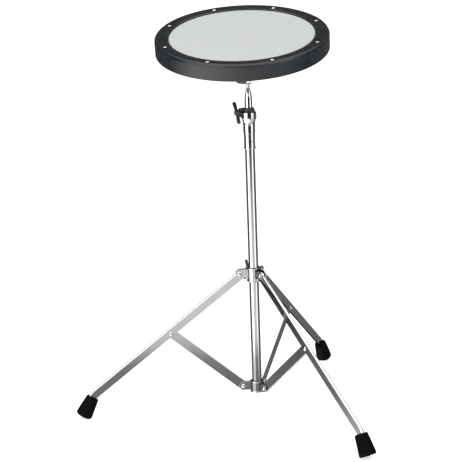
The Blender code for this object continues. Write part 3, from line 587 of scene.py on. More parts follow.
class Effects:
    """Surface effects shared by the finishes, each one a node group with a recipe of its own."""

    fine_share = 0.65
    hair_turn = (0.5, 0.3, 0.7)
    hair_stretch = (1.0, 18.0, 18.0)
    hair_scale = 3.0
    hair_depth = 0.8

    def __init__(self) -> None:
        """Build every group once."""
        self.grain = effect_group("surface_grain", "Height", self.grain_height)
        self.marks = effect_group("handling_marks", "Mask", self.mark_mask)
        self.dust = effect_group("settled_dust", "Mask", self.dust_mask)
        self.wear = effect_group("edge_wear", "Mask", self.wear_mask)

    def grain_height(self, tree: Tree, vector: Socket, scale: Socket) -> Socket:
        """Fine relief of moulded, cast or sprayed surfaces.

        Args:
            tree: The group's tree.
            vector: Its place input.
            scale: Its scale input.

        Returns:
            The height.
        """
        fine = tree.add("TexNoise", {"Vector": vector, "Scale": scale, "Detail": 3.0, "Roughness": 0.6})
        cells = tree.add("TexVoronoi", {"Vector": vector, "Scale": scale}, feature="SMOOTH_F1")
        return tree.maths("ADD", tree.maths("MULTIPLY", fine.outputs[0], self.fine_share),
                          tree.maths("MULTIPLY", cells.outputs[0], 1.0 - self.fine_share))

    def mark_mask(self, tree: Tree, vector: Socket, scale: Socket) -> Socket:
        """Smears and hairline scratches left by hands.

        Args:
            tree: The group's tree.
            vector: Its place input.
            scale: Its scale input.

        Returns:
            The mask.
        """
        smear = tree.add("TexNoise", {"Vector": vector, "Scale": scale, "Detail": 4.0, "Distortion": 0.8})
        drawn = tree.add("Mapping", {"Vector": vector, "Rotation": self.hair_turn,
                                     "Scale": self.hair_stretch})
        lines = tree.add("TexNoise", {"Vector": drawn.outputs[0], "Detail": 2.0,
                                      "Scale": tree.maths("MULTIPLY", scale, self.hair_scale)})
        hairs = tree.ranged(lines.outputs[0], low=0.62, high=0.72)
        soft = tree.ranged(smear.outputs[0], low=0.38, high=0.68)
        return tree.maths("MAXIMUM", soft, tree.maths("MULTIPLY", hairs, self.hair_depth))

    @staticmethod
    def dust_mask(tree: Tree, vector: Socket, scale: Socket) -> Socket:
        """Thin dust that settles on what faces up.

        Args:
            tree: The group's tree.
            vector: Its place input.
            scale: Its scale input.

        Returns:
            The mask.
        """
        normal = tree.add("NewGeometry").outputs["Normal"]
        upward = tree.ranged(tree.add("SeparateXYZ", {0: normal}).outputs[2], low=0.2, high=0.95)
        patches = tree.add("TexNoise", {"Vector": vector, "Scale": scale, "Detail": 6.0, "Roughness": 0.7})
        return tree.maths("MULTIPLY", upward, tree.ranged(patches.outputs[0], low=0.35, high=0.75))

    @staticmethod
    def wear_mask(tree: Tree, vector: Socket, scale: Socket) -> Socket:
        """Rubbed edges.

        Args:
            tree: The group's tree.
            vector: Its place input.
            scale: Its scale input.

        Returns:
            The mask.
        """
        edges = tree.ranged(tree.add("NewGeometry").outputs["Pointiness"], low=0.515, high=0.58)
        broken = tree.add("TexNoise", {"Vector": vector, "Scale": scale, "Detail": 5.0})
        return tree.maths("MULTIPLY", edges, tree.ranged(broken.outputs[0], low=0.4, high=0.62))


@dataclass(frozen=True)
class Finish:
    """One finish: a Principled material with the shared effects at its own values.

    Where hands have left marks, the colour turns to tone and the roughness grows by spread. Where a finish
    has a painted dark reflection, other polished pieces reflect it in that dark colour, as painted shade that
    draws dark edge lines.
    """

    slot: str
    colour: Colour
    tone: Colour
    roughness: float
    spread: float
    metallic: float = 0.0
    specular: float = 0.5
    grain: Grain = Grain.EVEN
    grain_scale: float = 900.0
    relief: float = 0.00004
    relief_strength: float = 0.3
    mark_scale: float = 28.0
    wear: float = 0.0
    wear_scale: float = 180.0
    wear_colour: Colour = (0.5, 0.5, 0.5)
    dust: float = 0.0
    dust_scale: float = 60.0
    dust_dulling: float = 0.4
    dust_colour: Colour = (0.42, 0.41, 0.39)
    # Colour of a painted dark reflection: what other polished pieces reflect of this finish, as painted shade
    painted_reflection: Colour | None = None

    def material(self, effects: Effects) -> bpy.types.Material:
        """Build the material.

        Args:
            effects: The shared node groups.

        Returns:
            A node material named for its slot.
        """
        material = bpy.data.materials.new(self.slot)
        material.use_nodes = True
        tree = Tree(material.node_tree)
        shader = material.node_tree.nodes["Principled BSDF"]
        coordinates = tree.add("TexCoord").outputs["Object"]
        stretched = tree.add("Mapping", {"Vector": coordinates, "Scale": self.grain.value}).outputs[0]
        grain = self.effect(tree, effects.grain, stretched, self.grain_scale)
        marks = self.effect(tree, effects.marks, coordinates, self.mark_scale)
        colour = tree.mixed(marks, (*self.colour, 1.0), (*self.tone, 1.0))
        if self.wear:
            rubbed = self.effect(tree, effects.wear, coordinates, self.wear_scale)
            colour = tree.mixed(tree.maths("MULTIPLY", rubbed, self.wear), colour, (*self.wear_colour, 1.0))
        smoothest = self.roughness - self.spread / 2
        roughness = tree.ranged(marks, 0.0, 1.0, smoothest, self.roughness + self.spread / 2)
        if self.dust:
            settled = self.effect(tree, effects.dust, coordinates, self.dust_scale)
            dusty = tree.maths("MULTIPLY", settled, self.dust)
            colour = tree.mixed(dusty, colour, (*self.dust_colour, 1.0))
            roughness = tree.maths("ADD", roughness, tree.maths("MULTIPLY", dusty, self.dust_dulling))
        # Painted dark reflection: in glossy rays the colour turns dark, painted shade that draws dark lines
        # where polished pieces meet
        if self.painted_reflection:
            painted_reflection_mask = tree.add("LightPath").outputs["Is Glossy Ray"]
            colour = tree.mixed(painted_reflection_mask, colour, (*self.painted_reflection, 1.0))
        bump = tree.add("Bump", {"Strength": self.relief_strength, "Distance": self.relief, "Height": grain})
        tree.links.new(colour, shader.inputs["Base Color"])
        tree.links.new(roughness, shader.inputs["Roughness"])
        tree.links.new(bump.outputs[0], shader.inputs["Normal"])
        shader.inputs["Metallic"].default_value = self.metallic
        shader.inputs["Specular IOR Level"].default_value = self.specular
        return material

    @staticmethod
    def effect(tree: Tree, group: bpy.types.NodeTree, vector: Socket, scale: float) -> Socket:
        """Place a shared effect in a material.

        Args:
            tree: The material's tree.
            group: The effect.
            vector: Coordinates for it.
            scale: Scale of its noise.

        Returns:
            Its output.
        """
        node = tree.add("Group", node_tree=group)
        tree.links.new(vector, node.inputs["Vector"])
        node.inputs["Scale"].default_value = scale
        return node.outputs[0]


# Colour of the painted dark reflection on chrome and plated steel: painted shade that shows as dark edge
# lines in other polished pieces
PAINTED_DARK_REFLECTION: Colour = (0.03, 0.03, 0.03)

FINISHES = (
    Finish("chrome", (0.80, 0.81, 0.82), (0.76, 0.77, 0.78), roughness=0.045, spread=0.03, metallic=1.0,
           grain_scale=160.0, relief=0.00001, relief_strength=0.08, painted_reflection=PAINTED_DARK_REFLECTION),
    Finish("plated_steel", (0.74, 0.74, 0.75), (0.69, 0.69, 0.70), roughness=0.05, spread=0.03, metallic=1.0,
           grain=Grain.DRAWN_LENGTHWISE, grain_scale=1400.0, relief=0.00002, relief_strength=0.15,
           painted_reflection=PAINTED_DARK_REFLECTION),
    Finish("dark_cast_metal", (0.06, 0.06, 0.062), (0.09, 0.09, 0.092), roughness=0.40, spread=0.14,
           metallic=0.3, grain_scale=1500.0, relief=0.00006, relief_strength=0.35, wear=0.55,
           wear_colour=(0.28, 0.28, 0.29)),
    Finish("charcoal_plastic", (0.012, 0.015, 0.018), (0.018, 0.021, 0.024), roughness=0.26, spread=0.08,
           grain_scale=2200.0, relief=0.00004, relief_strength=0.20),
    Finish("base_plastic", (0.018, 0.019, 0.021), (0.026, 0.027, 0.029), roughness=0.48, spread=0.12,
           grain_scale=1500.0, relief=0.00005, relief_strength=0.35, dust=0.05),
    Finish("coated_film", (0.60, 0.615, 0.62), (0.585, 0.60, 0.605), roughness=0.55, spread=0.08,
           specular=0.35, grain_scale=1300.0, relief=0.00005, relief_strength=0.25, mark_scale=9.0),
    Finish("aluminium", (0.70, 0.71, 0.72), (0.62, 0.63, 0.64), roughness=0.32, spread=0.12, metallic=1.0,
           grain=Grain.TURNED, grain_scale=500.0),
    Finish("foam", (0.09, 0.09, 0.095), (0.06, 0.06, 0.065), roughness=0.95, spread=0.05, grain_scale=700.0,
           relief=0.0004, relief_strength=0.8),
    Finish("brass", (0.66, 0.50, 0.22), (0.55, 0.40, 0.16), roughness=0.28, spread=0.12, metallic=1.0,
           grain=Grain.TURNED, grain_scale=500.0),
    Finish("rubber", (0.002, 0.002, 0.0022), (0.004, 0.004, 0.0044), roughness=0.58, spread=0.16,
           specular=0.05, grain_scale=1800.0, relief=0.00008, relief_strength=0.4, wear=0.25,
           wear_colour=(0.02, 0.02, 0.02)),
    Finish("nylon", (0.030, 0.030, 0.032), (0.045, 0.045, 0.047), roughness=0.45, spread=0.12,
           grain_scale=1200.0, relief=0.00004),
)


class Workshop:
    """Keeps the finishes and hands finished pieces to the frame."""

    def __init__(self) -> None:
        """Build every finish."""
        effects = Effects()
        self.materials = {finish.slot: finish.material(effects) for finish in FINISHES}
        self.even = {finish.slot for finish in FINISHES if finish.grain is Grain.EVEN}

    def present(self, mesh: Mesh, name: str, slot: str, body: str, matrix: Matrix,
                nodes: Sequence[str] = ()) -> bpy.types.Object:
        """Put a finished piece on its body.

        Args:
            mesh: The piece's mesh.
            name: Name of the piece.
            slot: Material slot of the record.
            body: CAD body that carries it.
            matrix: Its place in the row frame.
            nodes: CAD nodes that it stands for.

        Returns:
            The object.
        """
        mesh.materials.clear()
        mesh.materials.append(self.materials[slot])
        if slot in self.even:
            mesh.transform(matrix)
            matrix = Matrix()
        draft = scene_object(name + "_draft", mesh)
        draft.modifiers.new("even_normals", "WEIGHTED_NORMAL").keep_sharp = True
        mesh = evaluated_mesh(draft)
        mesh.name = name
        obj = scene_object(name, mesh, matrix)
        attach(obj, body)
        if nodes:
            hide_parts(*nodes)
        LOG.info("%s on %s: %d faces", name, body, len(mesh.polygons))
        return obj


class Datum:
    """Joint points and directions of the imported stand."""

    def __init__(self) -> None:
        """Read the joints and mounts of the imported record."""
        joints = {joint["name"]: joint for joint in frame["joints"]}
        mounts = {mount["name"]: mount for mount in frame["record"]["mounts"]}
        self.axis_x: float = joints["rod_turn"]["pos_m"][0]
        top, bottom = joints["collar_pivot"]["pos_m"], joints["leg_fold"]["pos_m"]
        middle = joints["leg_1_swing"]["pos_m"]
        self.collar_z: float = top[2]
        self.bracket_z: float = bottom[2]
        self.pivot_radius: float = self.axis_x - top[0]
        self.brace_rivet: Point2 = (self.axis_x - middle[0], middle[2])
        across = Vector(joints["pad_tilt"]["axis"]).normalized()
        tilt = Matrix.Translation(Vector(joints["pad_tilt"]["pos_m"]))
        self.neck = tilt @ about_z(math.atan2(across.y, across.x))
        up = Vector(mounts["playing_surface"]["axis"]).normalized()
        turn = Matrix((across, up.cross(across), up)).transposed().to_4x4()
        self.head = Matrix.Translation(Vector(mounts["playing_surface"]["pos_m"])) @ turn
        nut = Vector(joints["clamp_nut_turn"]["axis"])
        self.clamp_heading: float = math.atan2(-nut.y, -nut.x)
        screw = Vector(joints["collar_screw_turn"]["axis"])
        self.screw_heading: float = math.atan2(screw.y, screw.x)
        self.clamp_top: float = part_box("height_clamp")[1].z
        self.tube_bottom, self.tube_top = (corner.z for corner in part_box("main_tube"))
        self.rod_bottom, self.rod_top = (corner.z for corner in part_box("upper_rod"))

    def axis(self, height: float) -> Matrix:
        """Place on the tube's axis at a height."""
        return at(self.axis_x, 0.0, height)

    def leg_heading(self, number: int) -> float:
        """Azimuth of a leg."""
        return math.pi + (number - 1) * FULL_TURN / len(LEG_NUMBERS)

    def plane(self, number: int) -> Matrix:
        """Plane of a leg: x outwards, y up, z across it."""
        return self.axis(0.0) @ about_z(self.leg_heading(number)) @ STAND_UP


# Sub-assemblies of the stand and pad


# Inner side of a rivet's rolled end, as shares of the dimple's radius and the head's height
ROLL_SHARES = ((1.0, 0.62), (1.25, 0.82))

# Angles of the points on the rolled end's outer side, from the axis down to its seat
ROLL_ANGLES = (0.62, 0.85, 1.08, 1.3, 1.48, QUARTER)


@dataclass
class Rivet:
    """Semi-tubular rivet: a domed head at one end, a rolled end with a dimple at the other."""

    shank: float = 0.0024
    head: float = 0.0042
    height: float = 0.0019
    dimple: float = 0.0015
    dimple_floor: float = 0.0001
    floor_share: float = 0.75
    roll_height: float = 0.86

    def mesh(self, name: str, grip: float) -> Mesh:
        """Rivet on Z, its rolled end towards +Z.

        Args:
            name: Name of the mesh.
            grip: Thickness that it holds together.

        Returns:
            A closed mesh.
        """
        half = grip / 2 + GAP
        low = [(radius, -height) for radius, height in reversed(dome(self.head, self.height, half))]
        rolled = [(0.0, half + self.dimple_floor),
                  (self.dimple * self.floor_share, half + 2 * self.dimple_floor)]
        rolled += [(self.dimple * out, half + self.height * up) for out, up in ROLL_SHARES]
        outer = [(self.head * math.sin(angle), half + self.height * self.roll_height * math.cos(angle))
                 for angle in ROLL_ANGLES]
        return lathe(name, rolled + outer + [(self.shank, half), (self.shank, -half)] + low, steps=40)


@dataclass
class WingFastener:
    """Cast wings with a hub; a screw below them or a hole through them."""

    span: float = 0.042
    thickness: float = 0.0027
    tip: float = 0.0036
    rise: float = 0.0042
    hub: float = 0.0055
    hub_length: float = 0.0075
    hub_taper: float = 0.80
    root_share: float = 0.40
    screw: float = 0.0030
    pitch: float = 0.0010
    screw_sunk: float = 0.0012
    hole_reach: float = 0.02
    voxel: float = 0.00030
    passes: int = 5

    def wings(self, name: str, root: float) -> Mesh:
        """Hub and blades melted into one casting.

        Args:
            name: Name of the mesh.
            root: Radius from which the blades start.

        Returns:
            A closed mesh whose seat is at height 0.
        """
        root_radius = self.root_share * self.hub_length
        outline = round_bar((root + root_radius, self.hub_length / 2), root_radius,
                            (self.span / 2 - self.tip, self.rise), self.tip)
        hub = turned(name + "_hub", [
            (0.0, self.hub_length), (self.hub * self.hub_taper, self.hub_length, ROUNDED),
            (self.hub, 0.0, KEEN), (0.0, 0.0)], steps=48)
        blade = plate(name + "_blade", outline, self.thickness, ROUNDED)
        parts = [(hub, Matrix()), (blade, STAND_UP), (blade, about_z(math.pi) @ STAND_UP)]
        return cast_form(name, parts, self.voxel, self.passes)

    def screw_mesh(self, name: str, shank: float) -> Mesh:
        """Wing screw whose seat is at height 0.

        Args:
            name: Name of the mesh.
            shank: Length of the screw below its seat.

        Returns:
            Wings and screw in one mesh.
        """
        wings = self.wings(name + "_wings", self.screw)
        thread = threaded(name + "_thread", self.screw, self.pitch, -shank, self.screw_sunk)
        return gather(name, [wings, thread], THREAD_SHARP)

    def nut_mesh(self, name: str) -> Mesh:
        """Wing nut whose seat is at height 0, with a hole for its bolt.

        Args:
            name: Name of the mesh.

        Returns:
            A closed mesh.
        """
        wings = self.wings(name, self.screw + 2 * GAP)
        hole = cylinder(name + "_hole", self.screw + GAP, -self.hole_reach, self.hole_reach)
        return combine(wings, (Operation.CUT, hole, Matrix()))


@dataclass
class EaredSleeve:
    """Sleeve on the tube with a pair of ears for each leg."""

    above: float
    below: float
    ear_gap: float
    bore: float = TUBE_RADIUS + SLIDE_GAP
    wall: float = 0.0027
    lip: float = 0.0009
    lip_height: float = 0.0018
    ear_radius: float = 0.0075

    def mesh(self, name: str, datum: Datum) -> Mesh:
        """Sleeve about the tube's axis, the ears' rivets at height 0.

        Args:
            name: Name of the mesh.
            datum: Where the stand's joints are.

        Returns:
            One closed mesh.
        """
        outer, lip = self.bore + self.wall, self.bore + self.wall + self.lip
        upper, lower = self.above - self.lip_height, self.lip_height - self.below
        sleeve = turned(name, [
            (lip, self.above, EASED), (lip, upper, KEEN), (outer, upper, EASED), (outer, lower, EASED),
            (lip, lower, KEEN), (lip, -self.below, EASED), (self.bore, -self.below, CRISP),
            (self.bore, self.above, CRISP)], steps=96)
        root = self.bore + self.wall / 2
        pivot = (datum.pivot_radius, 0.0)
        outline = [(root, self.ear_radius), (root, -self.ear_radius)]
        outline += arc(pivot, self.ear_radius, -QUARTER, QUARTER, segments=24)
        steps = []
        for number in LEG_NUMBERS:
            for side in (-1, 1):
                ear = plate("ear", outline, EAR_SHEET, KEEN, [circle(pivot, RIVET_HOLE)])
                shift = at(0.0, 0.0, side * (self.ear_gap + EAR_SHEET) / 2)
                steps.append((Operation.JOIN, ear, about_z(datum.leg_heading(number)) @ STAND_UP @ shift))
        return combine(sleeve, *steps)


@dataclass
class LegSet:
    """Channel legs, braces, rubber tips and rivets."""

    depth: float = 0.015
    sheet: float = 0.0011
    width: float = 0.0058
    edge: float = 0.0009
    top_rivet: float = 0.0045
    back_round: float = 0.0026
    back_margin: float = 0.004
    crown_past: float = 0.012
    rivet_offset: float = 0.0056
    straight: float = 0.331
    bend_radius: float = 0.025
    tail: float = 0.024
    foot_angle: float = math.radians(29.0)
    brace_width: float = 0.0165
    brace_sheet: float = 0.0030
    brace_edge: float = 0.0007
    foot_length: float = 0.0365
    foot_top: float = 0.0110
    foot_bottom: float = 0.0145
    foot_shoulder: float = 0.0022
    swell_height: float = 0.0040
    swell_round: float = 0.0200
    sole_round: float = 0.0025
    sole_crown: float = 0.0012
    turned_rivets: int = 2

    def path(self, datum: Datum, offset: float, start: float, end: float) -> list[Point2]:
        """Line of the leg in its plane.

        Args:
            datum: Where the stand's joints are.
            offset: Distance to the leg's outer side.
            start: Length along the leg from the top rivet.
            end: Length past the bend.

        Returns:
            Points in (radius, height).
        """
        lean = self.lean(datum)
        down = Vector((math.sin(lean), -math.cos(lean)))
        out = Vector((math.cos(lean), math.sin(lean)))
        top = Vector((datum.pivot_radius, datum.collar_z))
        centre = top + down * self.straight - out * self.bend_radius
        first = top + down * start + out * offset
        points = [(first.x, first.y)]
        points += arc((centre.x, centre.y), self.bend_radius + offset, lean, self.foot_angle, segments=14)
        last = Vector(points[-1]) + self.foot_down() * end
        points.append((last.x, last.y))
        return points

    def band(self, datum: Datum, outer: float, inner: float, start: float, end: float) -> list[Point2]:
        """Outline between two lines of the leg, which path describes."""
        return self.path(datum, outer, start, end) + self.path(datum, inner, start, end)[::-1]

    def foot_down(self) -> Vector:
        """Direction of the leg's end, in its plane."""
        return Vector((math.sin(self.foot_angle), -math.cos(self.foot_angle)))

    def lean(self, datum: Datum) -> float:
        """Angle of the leg from the tube."""
        run = Vector(datum.brace_rivet) - Vector((datum.pivot_radius, datum.collar_z))
        return math.atan2(run.x, -run.y) + math.asin(self.rivet_offset / run.length)

    def leg_mesh(self, datum: Datum) -> Mesh:
        """Folded channel in its plane, open towards the tube, its back more rounded than its other edges.

        Args:
            datum: Where the stand's joints are.

        Returns:
            A closed mesh.
        """
        inner = self.top_rivet - self.depth
        lean = self.lean(datum)
        centre = self.top_rivet - self.depth / 2
        top = (datum.pivot_radius + centre * math.cos(lean), datum.collar_z + centre * math.sin(lean))
        outline = self.band(datum, self.top_rivet, inner, 0.0, self.tail)
        outline += arc(top, self.depth / 2, lean + math.pi, lean, segments=20)[1:-1]
        holes = [circle(rivet, RIVET_HOLE)
                 for rivet in ((datum.pivot_radius, datum.collar_z), datum.brace_rivet)]
        body = plate("channel_leg", outline, self.width, self.edge, holes)
        back = self.band(datum, self.top_rivet + self.back_margin, self.top_rivet - self.back_round,
                         self.back_margin, self.tail + self.back_margin)
        crown = self.band(datum, self.top_rivet, inner, -self.crown_past,
                          self.tail + self.back_margin + self.crown_past)
        rounded = plate("rounded_back", crown, self.width, self.back_round)
        spare = combine(plate("spare", back, 2 * self.width, CRISP), (Operation.CUT, rounded, Matrix()))
        body = combine(body, (Operation.CUT, spare, Matrix()))
        groove = self.band(datum, self.top_rivet - self.sheet, inner - self.sheet, -self.depth,
                           self.tail + self.sheet)
        cutter = plate("groove", groove, self.width - 2 * self.sheet, CRISP)
        return combine(body, (Operation.CUT, cutter, Matrix()))

    def brace_mesh(self, datum: Datum) -> Mesh:
        """Flat bar along X from its lower rivet, with round ends.

        Args:
            datum: Where the stand's joints are.

        Returns:
            A closed mesh.
        """
        length = (Vector(datum.brace_rivet) - Vector((datum.pivot_radius, datum.bracket_z))).length
        ends = ((0.0, 0.0), (length, 0.0))
        outline = round_bar(ends[0], self.brace_width / 2, ends[1], self.brace_width / 2)
        return plate("brace_bar", outline, self.brace_sheet, self.brace_edge,
                     [circle(end, RIVET_HOLE) for end in ends])

    def foot_mesh(self) -> Mesh:
        """Smooth tapered rubber tip on Z, its top at the leg's end.

        Returns:
            A closed mesh with a socket for the leg.
        """
        body = turned("rubber_tip", [
            (0.0, self.foot_length), (self.foot_top, self.foot_length, self.foot_shoulder),
            (self.foot_bottom, self.swell_height, self.swell_round), (self.foot_bottom, 0.0, self.sole_round),
            (0.0, -self.sole_crown)], steps=72, segments=8)
        depth = 2 * (self.tail + GAP)
        socket = block("socket", (self.width + 2 * GAP, self.depth + 2 * GAP, depth))
        return combine(body, (Operation.CUT, socket, at(0.0, 0.0, self.foot_length)))

    def foot_place(self, datum: Datum) -> Matrix:
        """Place of a rubber tip in its leg's plane.

        Args:
            datum: Where the stand's joints are.

        Returns:
            The place.
        """
        entry = self.path(datum, self.top_rivet - self.depth / 2, 0.0, 0.0)[-1]
        bottom = Vector(entry) + self.foot_down() * self.foot_length
        out = (math.cos(self.foot_angle), math.sin(self.foot_angle))
        lean = Matrix(((0.0, out[0], -out[1]), (0.0, out[1], out[0]), (1.0, 0.0, 0.0))).to_4x4()
        return at(bottom.x, bottom.y, 0.0) @ lean

    @staticmethod
    def flatten_sole(obj: bpy.types.Object) -> None:
        """Press what lies under the floor up to it.

        Args:
            obj: A rubber tip in its place.
        """
        matrix = obj.matrix_world
        back = matrix.inverted()
        for vertex in obj.data.vertices:
            point = matrix @ vertex.co
            if point.z < 0.0:
                vertex.co = back @ Vector((point.x, point.y, 0.0))
        obj.data.update()

    def build(self, shop: Workshop, datum: Datum) -> None:
        """Build and dress the three legs.

        Args:
            shop: Takes the finished pieces.
            datum: Where the stand's joints are.
        """
        leg, brace, foot = self.leg_mesh(datum), self.brace_mesh(datum), self.foot_mesh()
        rivet = Rivet()
        leg_gap, brace_gap, ears = self.width + 2 * GAP, self.brace_sheet + 2 * GAP, 2 * EAR_SHEET
        grips = {"leg": self.width, "bracket": brace_gap + ears, "collar": leg_gap + ears}
        places = {"leg": datum.brace_rivet, "bracket": (datum.pivot_radius, datum.bracket_z),
                  "collar": (datum.pivot_radius, datum.collar_z)}
        rivets = {key: rivet.mesh(key + "_rivet", grip) for key, grip in grips.items()}
        run = Vector(datum.brace_rivet) - Vector(places["bracket"])
        brace_turn = about_z(math.atan2(run.y, run.x))
        for number in LEG_NUMBERS:
            plane = datum.plane(number)
            carrier = f"leg_frame_{number}"
            shop.present(leg.copy(), f"channel_leg_{number}", "chrome", carrier, plane, [f"leg_{number}"])
            shop.present(brace.copy(), f"brace_bar_{number}", "plated_steel", f"brace_link_{number}",
                         plane @ at(*places["bracket"], 0.0) @ brace_turn, [f"brace_{number}"])
            tip = shop.present(foot.copy(), f"rubber_tip_{number}", "rubber", carrier,
                               plane @ self.foot_place(datum), [f"foot_{number}"])
            self.flatten_sole(tip)
            flip = Matrix.Rotation(math.pi, 4, "X") if number == self.turned_rivets else Matrix()
            for key, body in (("leg", carrier), ("bracket", "stand"), ("collar", "collar")):
                shop.present(rivets[key].copy(), f"{key}_rivet_fine_{number}", "plated_steel", body,
                             plane @ at(*places[key], 0.0) @ flip, [f"{key}_rivet_{number}"])


@dataclass
class Hub:
    """Sliding leg collar with its wing screw, and the fixed bottom bracket."""

    boss_radius: float = 0.0060
    boss_reach: float = 0.0040
    hole_past: float = 1.5
    screw_rise: float = 0.0015
    wing_turn: float = math.radians(8.0)

    def build(self, shop: Workshop, datum: Datum) -> None:
        """Build and dress both sleeves and the screw.

        Args:
            shop: Takes the finished pieces.
            datum: Where the stand's joints are.
        """
        bracket = EaredSleeve(above=0.0085, below=0.0115, ear_gap=0.0036)
        shop.present(bracket.mesh("bracket_sleeve", datum), "bracket_sleeve", "chrome", "stand",
                     datum.axis(datum.bracket_z), ["bottom_bracket"])
        collar = EaredSleeve(above=0.0095, below=0.0145, ear_gap=0.0064)
        wings = WingFastener(span=0.036, rise=0.0085)
        boss_end = collar.bore + collar.wall + self.boss_reach
        root = collar.bore + collar.wall / 2
        outwards = at(0.0, 0.0, self.screw_rise) @ about_z(datum.screw_heading) @ TO_RIGHT
        sleeve = collar.mesh("collar_sleeve", datum)
        boss = turned("boss", [(0.0, boss_end), (self.boss_radius, boss_end, MILD), (self.boss_radius, root),
                               (0.0, root)], steps=48)
        hole = cylinder("boss_hole", wings.screw + GAP, collar.bore / 2, boss_end * self.hole_past)
        sleeve = combine(sleeve, (Operation.JOIN, boss, outwards), (Operation.CUT, hole, outwards))
        place = datum.axis(datum.collar_z)
        shop.present(sleeve, "collar_sleeve", "chrome", "collar", place, ["leg_collar"])
        seat = boss_end + GAP
        screw = wings.screw_mesh("collar_wings", seat - TUBE_RADIUS - GAP)
        shop.present(screw, "collar_wings", "dark_cast_metal", "collar_screw",
                     place @ outwards @ at(0.0, 0.0, seat) @ about_z(self.wing_turn), ["collar_wing_screw"])


@dataclass
class Mast:
    """Main tube, telescopic rod and their plastic guides."""

    rod_wall: float = 0.0012
    taper: float = 0.020
    taper_steps: int = 24
    guide_length: float = 0.018
    guide_flange: float = 0.0060
    plug_depth: float = 0.012
    plug_flange: float = 0.0025
    dish_radius: float = 0.0040
    dish_floor: float = 0.0035
    dish_depth: float = 0.0006

    def build(self, shop: Workshop, datum: Datum) -> None:
        """Build and dress the tubes.

        Args:
            shop: Takes the finished pieces.
            datum: Where the stand's joints are.
        """
        inner = ROD_RADIUS + GAP
        bore = ROD_RADIUS - self.rod_wall
        place = datum.axis(0.0)
        low, high = datum.tube_bottom, datum.tube_top
        tube = turned("tube", [(TUBE_RADIUS, high, KEEN), (TUBE_RADIUS, low, KEEN), (inner, low, CRISP),
                               (inner, high, CRISP)], steps=96)
        shop.present(tube, "tube", "chrome", "stand", place, ["main_tube"])
        flange = low - GAP
        bottom = flange - self.plug_flange
        dish = bottom + self.dish_depth
        plug = turned("end_plug", [
            (0.0, low + self.plug_depth), (inner - GAP, low + self.plug_depth, ROUNDED),
            (inner - GAP, flange), (TUBE_RADIUS, flange, CRISP), (TUBE_RADIUS, bottom, ROUNDED),
            (self.dish_radius, bottom, EASED), (self.dish_floor, dish, EASED), (0.0, dish)], steps=64)
        shop.present(plug, "end_plug", "nylon", "stand", place, ["tube_end_plug"])
        top, end = datum.rod_top, datum.rod_bottom
        hole = STEM_RADIUS + GAP
        shares = [step / self.taper_steps for step in range(self.taper_steps + 1)]
        curve = [(ROD_TIP + (ROD_RADIUS - ROD_TIP) * math.sin(QUARTER * share), top - self.taper * share)
                 for share in shares]
        socket = top - STEM_LENGTH
        shaft = lathe("rod", curve + [(ROD_RADIUS, end), (bore, end), (bore, socket - self.rod_wall),
                                      (hole, socket), (hole, top)], steps=96)
        shop.present(shaft, "rod", "chrome", "rod", place, ["upper_rod"])
        seat = end - GAP
        guide = turned("guide", [
            (0.0, end + self.guide_length), (bore - GAP, end + self.guide_length, ROUNDED),
            (bore - GAP, seat), (ROD_RADIUS, seat, CRISP), (ROD_RADIUS, seat - self.guide_flange, ROUNDED),
            (0.0, seat - self.guide_flange)], steps=64)
        shop.present(guide, "guide", "nylon", "rod_carrier", place, ["rod_guide"])


